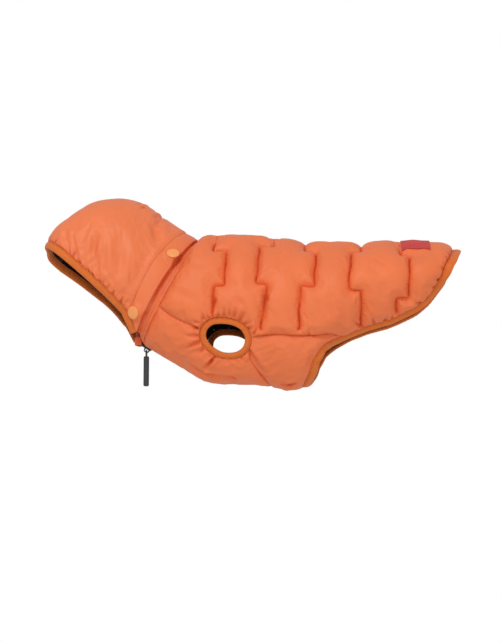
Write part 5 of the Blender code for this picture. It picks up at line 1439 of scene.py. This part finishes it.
def build_binding(name, node, points, normals, strip, seed, place=None, flip=False, **shape):
    """A binding on its seam, shaped from its strip's width and thickness."""
    walk = walk_of(points)
    drift = PUCKER_DRIFT * np.sin(walk / PUCKER_DRIFT_LENGTH)
    puckers = (PUCKER_RISE * np.abs(np.sin(walk * math.pi / PUCKER_LENGTH + drift))
               + PUCKER_NOISE * soft_noise(points, PUCKER_NOISE_SIZE, seed))
    sections = binding_sections(points, normals, binding_profile(strip.width, strip.thickness),
                                swell=puckers - PUCKER_MIDDLE, **shape)
    if flip:
        sections = sections * MIRROR
    piece = lofted(name, sections, [binding_cloth], closed=shape.get("closed", False),
                   place=place, sewn=BINDING_SHADE_GAPS, walk=walk, sharp=70.0)
    strip.cut_width * MM
    declare(piece, "binding", node)


# ---- band and collar
BAND_SECTIONS = 221
BAND_WAVER, BAND_WAVER_SIZE, BAND_WAVER_SEED = 0.35, 13.0, 31
BAND_WAVERS_FROM = 2.3        # the band's outside is what stands higher than this
COLLAR_WAVER, COLLAR_WAVER_SIZE, COLLAR_WAVER_SEED = 0.3, 9.0, 33
COLLAR_END_MARGIN = 2.0
COLLAR_TUCK = 0.8             # how far the collar reaches in under the band's foot
COLLAR_CLEAR = 0.3
NEXT_RING = 2.0


def band_edges(shares):
    """The band's foot and head with their normals, from one end to the other."""
    zero, full = np.zeros(len(shares)), np.full(len(shares), band.length)
    foot_arcs, head_arcs = shares * band_foot_arc, shares * band_arc
    foot, foot_out = band.surface(zero, foot_arcs)
    head = band.point(full, head_arcs)
    return foot, head, foot_out, hood.normal(zero, head_arcs), unit(head - foot)


band_foot_arc = -float(band.locate(BAND_FOOT_END)[1])
collar_arc = float(body.half_girth(0.0)) - ZIP_HALF_WIDTH - COLLAR_END_MARGIN
band_shares = np.linspace(-1.0, 1.0, BAND_SECTIONS)

# A strip's profile: how far over from its foot to its head, lift and sewing gap for painted shade.
Rise = namedtuple("Rise", "over lift sewn")
BAND_RISES = (
    Rise(0.0, 0.0, 0.0), Rise(-0.01, 1.9, 0.3), Rise(0.02, 3.0, 2.0), Rise(0.07, 3.5, 9.0),
    Rise(0.13, 3.2, 1.2), Rise(0.19, 3.55, 9.0), Rise(0.27, 3.55, 9.0), Rise(0.35, 3.7, 9.0),
    Rise(0.45, 3.75, 9.0), Rise(0.55, 3.7, 9.0), Rise(0.65, 3.6, 9.0), Rise(0.75, 3.45, 9.0),
    Rise(0.88, 3.25, 9.0), Rise(0.96, 3.1, 9.0), Rise(1.0, 2.9, 1.8), Rise(1.0, 0.0, 9.0),
    Rise(0.5, 0.1, 9.0),
)


def band_sections(shares):
    trimmed = shares * (1.0 - BAND_END_GAP / band_arc)
    foot, head, foot_out, head_out, across = band_edges(trimmed)
    head = head - across * SEAM_GAP / 2
    waver = BAND_WAVER * soft_noise(foot, BAND_WAVER_SIZE, BAND_WAVER_SEED)
    rows = []
    for rise in BAND_RISES:
        out = unit(foot_out * (1 - rise.over) + head_out * rise.over)
        lift = rise.lift + (waver if rise.lift > BAND_WAVERS_FROM else 0.0)
        rows.append(foot * (1 - rise.over) + head * rise.over
                    + out * np.broadcast_to(lift, len(foot))[:, None])
    return np.stack(rows, axis=1)


# The collar between its neck seam and the band: how far over, and lift.
COLLAR_RISES = ((0.10, 0.5), (0.24, 0.7), (0.36, 0.1), (0.46, 0.5), (0.66, -0.5), (0.86, -1.4))
# How near a seam each collar corner counts, for painted shade under the band's foot and along its
# seams.
COLLAR_SHADE_GAPS = (9.0, 0.0, 1.3, 1.8, 0.4, 1.4, 0.9, 0.0, 0.0, 9.0, 9.0, 9.0)


def collar_sections(shares):
    """From the neck seam up to the middle of the band, which lies over it."""
    foot, head, foot_out, head_out, across = band_edges(shares)
    seam_arcs = shares * collar_arc
    zero = np.zeros(len(shares))
    seam, seam_out = body.surface(zero, seam_arcs)
    next_ring = body.point(zero + NEXT_RING, seam_arcs)
    seam = seam - unit(next_ring - seam) * SEAM_GAP / 2
    under = -SEAM_GAP - COLLAR_CLEAR
    low_foot = foot - across * COLLAR_TUCK
    middle, middle_out = (foot + head) / 2, unit(foot_out + head_out)
    sewn, foot_top = seam + seam_out * SEWN_HEIGHT, rolled(low_foot + foot_out * under)
    waver = COLLAR_WAVER * soft_noise(seam, COLLAR_WAVER_SIZE, COLLAR_WAVER_SEED)[:, None]
    rows = [seam, sewn]
    for over, lift in COLLAR_RISES:
        out = unit(seam_out * (1 - over) + foot_out * over)
        rows.append(sewn * (1 - over) + foot_top * over + out * (lift + waver))
    rows += [foot_top, rolled(middle + middle_out * under),
             rolled(middle + middle_out * (under - COLLAR_WALL)),
             rolled(low_foot + foot_out * (under - COLLAR_WALL))]
    return np.stack(rows, axis=1)


def snap_place(snap, side):
    """Where a snap cap sits on one side of the band, and which way it faces."""
    foot, head, foot_out, head_out, across = band_edges(np.array([snap.share * side]))
    out = unit(foot_out[0] + head_out[0])
    centre = (foot[0] + head[0]) / 2 + across[0] * snap.off_middle
    base = rolled(centre)
    cloth_out = unit(rolled(centre + out) - base)
    facing = unit(cloth_out + np.array([snap.tip_x, 0.0, snap.tip_z]))
    tipped = math.acos(min(1.0, float(cloth_out @ facing)))
    lift = BAND_LOFT + SNAP_CLEAR + SNAP_DIAMETER / 2 * math.sin(tipped)
    return base + cloth_out * lift, facing


MOUND_REACH, MOUND_SLOPE, MOUND_CLEAR = 0.75, 0.35, 0.35


def mounded(points):
    """Points of the band's outside, pushed up under the raised edges of its caps."""
    points = points.copy()
    for snap in SNAPS:
        for side in (-1.0, 1.0):
            centre, facing = snap_place(snap, side)
            way = points - centre
            below = -(way @ facing)
            aside = np.linalg.norm(way + below[..., None] * facing, axis=-1)
            share = np.clip((SNAP_DIAMETER * MOUND_REACH - aside)
                            / (SNAP_DIAMETER * MOUND_SLOPE), 0.0, 1.0)
            rise = np.clip(below - MOUND_CLEAR, 0.0, None) * share**2 * (3 - 2 * share)
            points += rise[..., None] * facing
    return points


band_rows = rolled(band_sections(band_shares).reshape(-1, 3)).reshape(len(band_shares), -1, 3)
band_top = np.array([r.lift > BAND_WAVERS_FROM for r in BAND_RISES])
band_rows[:, band_top] = mounded(band_rows[:, band_top])
# The sewn column paints shade along the band's edges and groove.
band_piece = lofted("band_cloth", band_rows, [hood_shell, lining],
                    sewn=[r.sewn for r in BAND_RISES],
                    slots=[0] * (len(BAND_RISES) - 2) + [1, 1])
declare(band_piece, "hood_shell", "hood_band")
collar_piece = lofted("collar_cloth", collar_sections(band_shares), [shell, lining],
                      sewn=COLLAR_SHADE_GAPS, slots=[0] * 9 + [1, 1, 1])
declare(collar_piece, "shell", "collar")

# ---- bindings
foot, head, foot_out, head_out, _ = band_edges(np.array([-1.0]))
edge, edge_out = hood.surface(*hood_chart(hood_face_edge))
face_points = np.vstack([foot[0], (foot[0] + head[0]) / 2, edge])
face_normals = np.vstack([foot_out[0], unit(foot_out[0] + head_out[0]), edge_out])
face_points = np.vstack([face_points, face_points[-2::-1] * MIRROR])
face_normals = np.vstack([face_normals, face_normals[-2::-1] * MIRROR])
walk = walk_of(face_points)
wanted = np.linspace(0.0, walk[-1], int(walk[-1] / STRIP_SPACING))
face_points, face_normals = (resampled(rows, wanted, walk) for rows in (face_points, face_normals))
build_binding("face_binding", "hood_binding", face_points, unit(face_normals), FACE_STRIP, 41,
              place=rolled, side=-1.0)

hem_path = finer(hem_seam, int(walk_of(hem_seam)[-1] / STRIP_SPACING))
corner, tip = body.point(*beside_zip(hem_start_u + np.array([0.0, HEM_STRIP.width])))
along_zip = unit(tip - corner)
build_binding("hem_binding_strip", "hem_binding", *body.surface(*hem_path.T), HEM_STRIP, 42,
              ends=(along_zip, along_zip * MIRROR))

leg_path = finer(leg_loop, LEG_STRIP_PLACES, closed=True)
for side in SIDES:
    build_binding(f"leg_binding_strip_{side}", f"leg_binding_{side}", *body.surface(*leg_path.T),
                  LEG_STRIP, 43, flip=side == "right", closed=True)

# ---- label
label_corners = np.array([(body.station_over(LABEL_START), -LABEL_HALF_FRONT),
                          (body.station_over(LABEL_END), -LABEL_HALF_REAR),
                          (body.station_over(LABEL_END), LABEL_HALF_REAR),
                          (body.station_over(LABEL_START), LABEL_HALF_FRONT)])
LABEL_SPACING, LABEL_SMOOTHING = 1.5, 3.5
label_sheet = Sheet(body, divided(label_corners, LABEL_SPACING, closed=True))
back_lift = np.einsum("ij,ij->i", cloths[0].points - back_flat, cloths[0].out)


def smoothed(values, spots, places, reach):
    """Values at places, averaged from the spots within a reach."""
    weight = np.exp(-((places[:, None] - spots[None]) ** 2).sum(axis=2) / reach**2)
    return weight @ values / weight.sum(axis=1)


label_height = LABEL_LIFT + smoothed(back_lift, back_sheet.spots, label_sheet.spots,
                                     LABEL_SMOOTHING)
label_top, label_low = (label_sheet.raised(label_height + thickness)
                        for thickness in (LABEL_THICKNESS, 0.0))
shift = len(label_top)
rim = np.array(label_sheet.rim)
after = np.roll(rim, -1)
label_faces = (label_sheet.faces.tolist()
               + np.stack([rim + shift, after + shift, after, rim], axis=1).tolist()
               + (label_sheet.faces[:, (0, 2, 1)] + shift).tolist())
label_piece = make_piece("label_cloth", np.vstack([label_top, label_low]), label_faces,
                         [label_cloth])
declare(label_piece, "label", "label")

# ---- zip
ZIP_TAPE_WALL, ZIP_COIL_HEIGHT, ZIP_COIL_HALF = 1.5, 3.0, 1.6
SLIDER_AT, SLIDER_LENGTH, SLIDER_CLEAR = 4.7, 11.5, 4.0
ZIP_SECTIONS = 150
TOOTH_PITCH, TOOTH_SIDE, TOOTH_LIFT = 1.5, 0.6, 2.2
TOOTH_SIZE, TOOTH_ROUND = (0.86, 1.9, 1.3), 0.2

zip_us = np.linspace(SLIDER_AT + SLIDER_LENGTH / 2 + SLIDER_CLEAR, body.station_over(ZIP_END_X),
                     ZIP_SECTIONS)
zip_points, zip_normals = body.surface(zip_us, -body.half_girth(zip_us))
half = ZIP_HALF_WIDTH - SEAM_GAP
tape_side = ((-half, 0.2), (-half, ZIP_TAPE_WALL), (-ZIP_COIL_HALF, ZIP_TAPE_WALL + 0.1),
             (-ZIP_COIL_HALF + 0.5, ZIP_COIL_HEIGHT - 1.0))
tape_profile = (*tape_side, (0.0, ZIP_COIL_HEIGHT - 1.25),
                *((-across, lift) for across, lift in reversed(tape_side)))
tape = lofted("zip_tape", binding_sections(zip_points, zip_normals, tape_profile), [zip_cloth])
declare(tape, "zip_chain", "zip_strip")


def zip_teeth():
    """Interlocked teeth down the zip: one is modelled, and its copies joined."""
    bpy.ops.mesh.primitive_cube_add(size=MM, scale=TOOTH_SIZE)
    tooth = bpy.context.object
    bpy.ops.object.transform_apply(location=False, rotation=False, scale=True)
    bpy.ops.object.mode_set(mode="EDIT")
    bpy.ops.mesh.bevel(offset=TOOTH_ROUND * MM, segments=1, affect="EDGES")
    bpy.ops.object.mode_set(mode="OBJECT")
    tooth.data.materials.append(zip_teeth_look)
    walk = walk_of(zip_points)
    heading = unit(np.gradient(zip_points, axis=0))
    across = unit(np.cross(heading, zip_normals))
    copies = []
    for k in range(int(walk[-1] / TOOTH_PITCH)):
        at = (k + 0.5) * TOOTH_PITCH
        place, along, side, out = (
            resampled(rows, [at], walk)[0] for rows in (zip_points, heading, across, zip_normals))
        spot = place + side * (TOOTH_SIDE if k % 2 else -TOOTH_SIDE) + out * TOOTH_LIFT
        copy = add_object("tooth", tooth.data.copy())
        copy.matrix_world = (Matrix.Translation(Vector(spot) * MM)
                             @ Matrix((along, side, out)).transposed().to_4x4())
        copies.append(copy)
    bpy.data.objects.remove(tooth, do_unlink=True)
    teeth = copies[0]
    with bpy.context.temp_override(active_object=teeth, object=teeth, selected_objects=copies,
                                   selected_editable_objects=copies):
        bpy.ops.object.join()
    teeth.name = "zip_teeth"
    with bpy.context.temp_override(active_object=teeth, object=teeth, selected_objects=[teeth],
                                   selected_editable_objects=[teeth]):
        bpy.ops.object.transform_apply(location=True, rotation=True, scale=True)
    return teeth


declare(zip_teeth(), "zip_chain")


# How deep the guard's surface lies, how high up it, and its painted shade from the hollow.
GUARD_PROFILE = (
    (0.7, 0.03, 0.0), (0.15, 0.10, 0.0), (0.0, 0.26, 0.0), (0.0, 0.46, 0.0), (0.25, 0.60, 0.1),
    (0.9, 0.66, 0.8), (1.5, 0.72, 1.0), (1.6, 0.84, 1.0), (1.3, 0.93, 1.0), (1.7, 1.0, 1.0),
    (2.3, 0.97, 1.0), (2.4, 0.5, 1.0), (2.3, 0.05, 1.0), (1.6, 0.0, 0.3),
)
GUARD_SECTIONS = 61
GUARD_OUTSIDE = 1.6           # what lies less deep is the outside, which wavers inwards too
GUARD_WAVER, GUARD_WAVES, WAVER_IN, WAVER_UP = 0.35, 5.0, 0.15, 0.6


def guard_sections():
    """The cloth guard round the zip's top: a bright fold with a hollow over it in painted shade."""
    turns = np.linspace(-math.pi / 2, math.pi / 2, GUARD_SECTIONS)
    depth = GUARD_FRONT_X - GUARD_BACK_X
    path = np.stack([GUARD_BACK_X + depth * np.cos(turns), GUARD_HALF_WIDTH * np.sin(turns)],
                    axis=1)
    heading = unit(np.gradient(path, axis=0))
    inward = np.stack([heading[:, 1], -heading[:, 0]], axis=1)
    high = GUARD_TOP_Z - GUARD_LOW_Z
    rows = []
    for place, way, turn in zip(path, inward, turns):
        waver = GUARD_WAVER * math.sin(turn * GUARD_WAVES)
        rows.append([(*(place + way * (deep + (WAVER_IN * waver if deep < GUARD_OUTSIDE else 0))),
                      GUARD_LOW_Z + high * share + waver * WAVER_UP)
                     for deep, share, _ in GUARD_PROFILE])
    return rows


guard_look = Look("guard")
# The hollow over the fold is painted dark red as shade.
hollow_shade = guard_look.attribute("sewn").step(0.0, 1.0)
guard_look.put(Base_Color=hollow_shade.between(
    guard_look.noise(5.0).between(rgba(GUARD_RED, 0.9), rgba(GUARD_RED, 1.08)),
    rgba(GUARD_RED, 0.40)), Roughness=0.5, Specular_IOR_Level=0.3)
guard_look.bump(guard_look.noise(2.6, 2.0), 0.3)
guard = lofted("guard_cloth", guard_sections(), [guard_look.material],
               sewn=[hollow_shade for _, _, hollow_shade in GUARD_PROFILE])
declare(guard, "guard", "zip_guard")

# ---- hardware
caps = [(f"snap_{snap.name}_{side}", snap_plastic) for snap in SNAPS for side in SIDES]
for node, look in [("zip_slider", metal), ("zip_pull", rubber)] + caps:
    part = bpy.data.objects[node]
    part.data.materials.clear()
    part.data.materials.append(look)


# ---- light and floor
WHITE_BACKING, ROOM_LIGHT = 1.0, 0.62
FLOOR_WIDTH, FLOOR_Z = 50.0, -1.4
WHITE = (1.0, 1.0, 1.0, 1.0)
Light = namedtuple("Light", "name place size power")
LIGHTS = (Light("key", (-0.5, -1.7, 1.1), 0.9, 15.0), Light("fill", (0.7, -1.8, -0.9), 1.3, 8.0))


def area_light(name, place, size, power):
    """A soft square light at a place in metres that faces the coat."""
    data = bpy.data.lights.new(name, "AREA")
    data.size, data.energy = size, power
    light = add_object(name, data)
    light.location = place
    aim = Vector(CAMERA_AIM) * MM - Vector(place)
    light.rotation_euler = aim.to_track_quat("-Z", "Y").to_euler()


def shine(tree, socket):
    """Let a socket be bright where it is looked at, and dimmer as a light."""
    start = Shade(tree, None)
    seen_straight = start.get(start.node("ShaderNodeLightPath"))
    tree.links.new((seen_straight * (WHITE_BACKING - ROOM_LIGHT) + ROOM_LIGHT).socket, socket)


def add_floor():
    """A plain pale floor, far wider than the view, that is clear from below."""
    bpy.ops.mesh.primitive_plane_add(size=FLOOR_WIDTH, location=(0.0, 0.0, FLOOR_Z))
    floor = bpy.context.object
    floor.name = "floor"
    look = bpy.data.materials.new("floor")
    look.use_nodes = True
    tree = look.node_tree
    tree.nodes.remove(tree.nodes["Principled BSDF"])
    start = Shade(tree, None)
    pale = start.node("ShaderNodeEmission", Color=WHITE)
    shine(tree, pale.inputs["Strength"])
    back = start.get(start.node("ShaderNodeNewGeometry"), 6)
    mixed = start.node("ShaderNodeMixShader", i0=back, i1=start.get(pale),
                       i2=start.get(start.node("ShaderNodeBsdfTransparent")))
    tree.links.new(mixed.outputs[0], tree.nodes["Material Output"].inputs["Surface"])
    floor.data.materials.append(look)


add_floor()
for light in LIGHTS:
    area_light(*light)

world = bpy.data.worlds.new("studio")
world.use_nodes = True
backing = world.node_tree.nodes["Background"]
shine(world.node_tree, backing.inputs["Strength"])
backing.inputs["Color"].default_value = WHITE
bpy.context.scene.world = world
bpy.context.scene.view_settings.view_transform = "Standard"

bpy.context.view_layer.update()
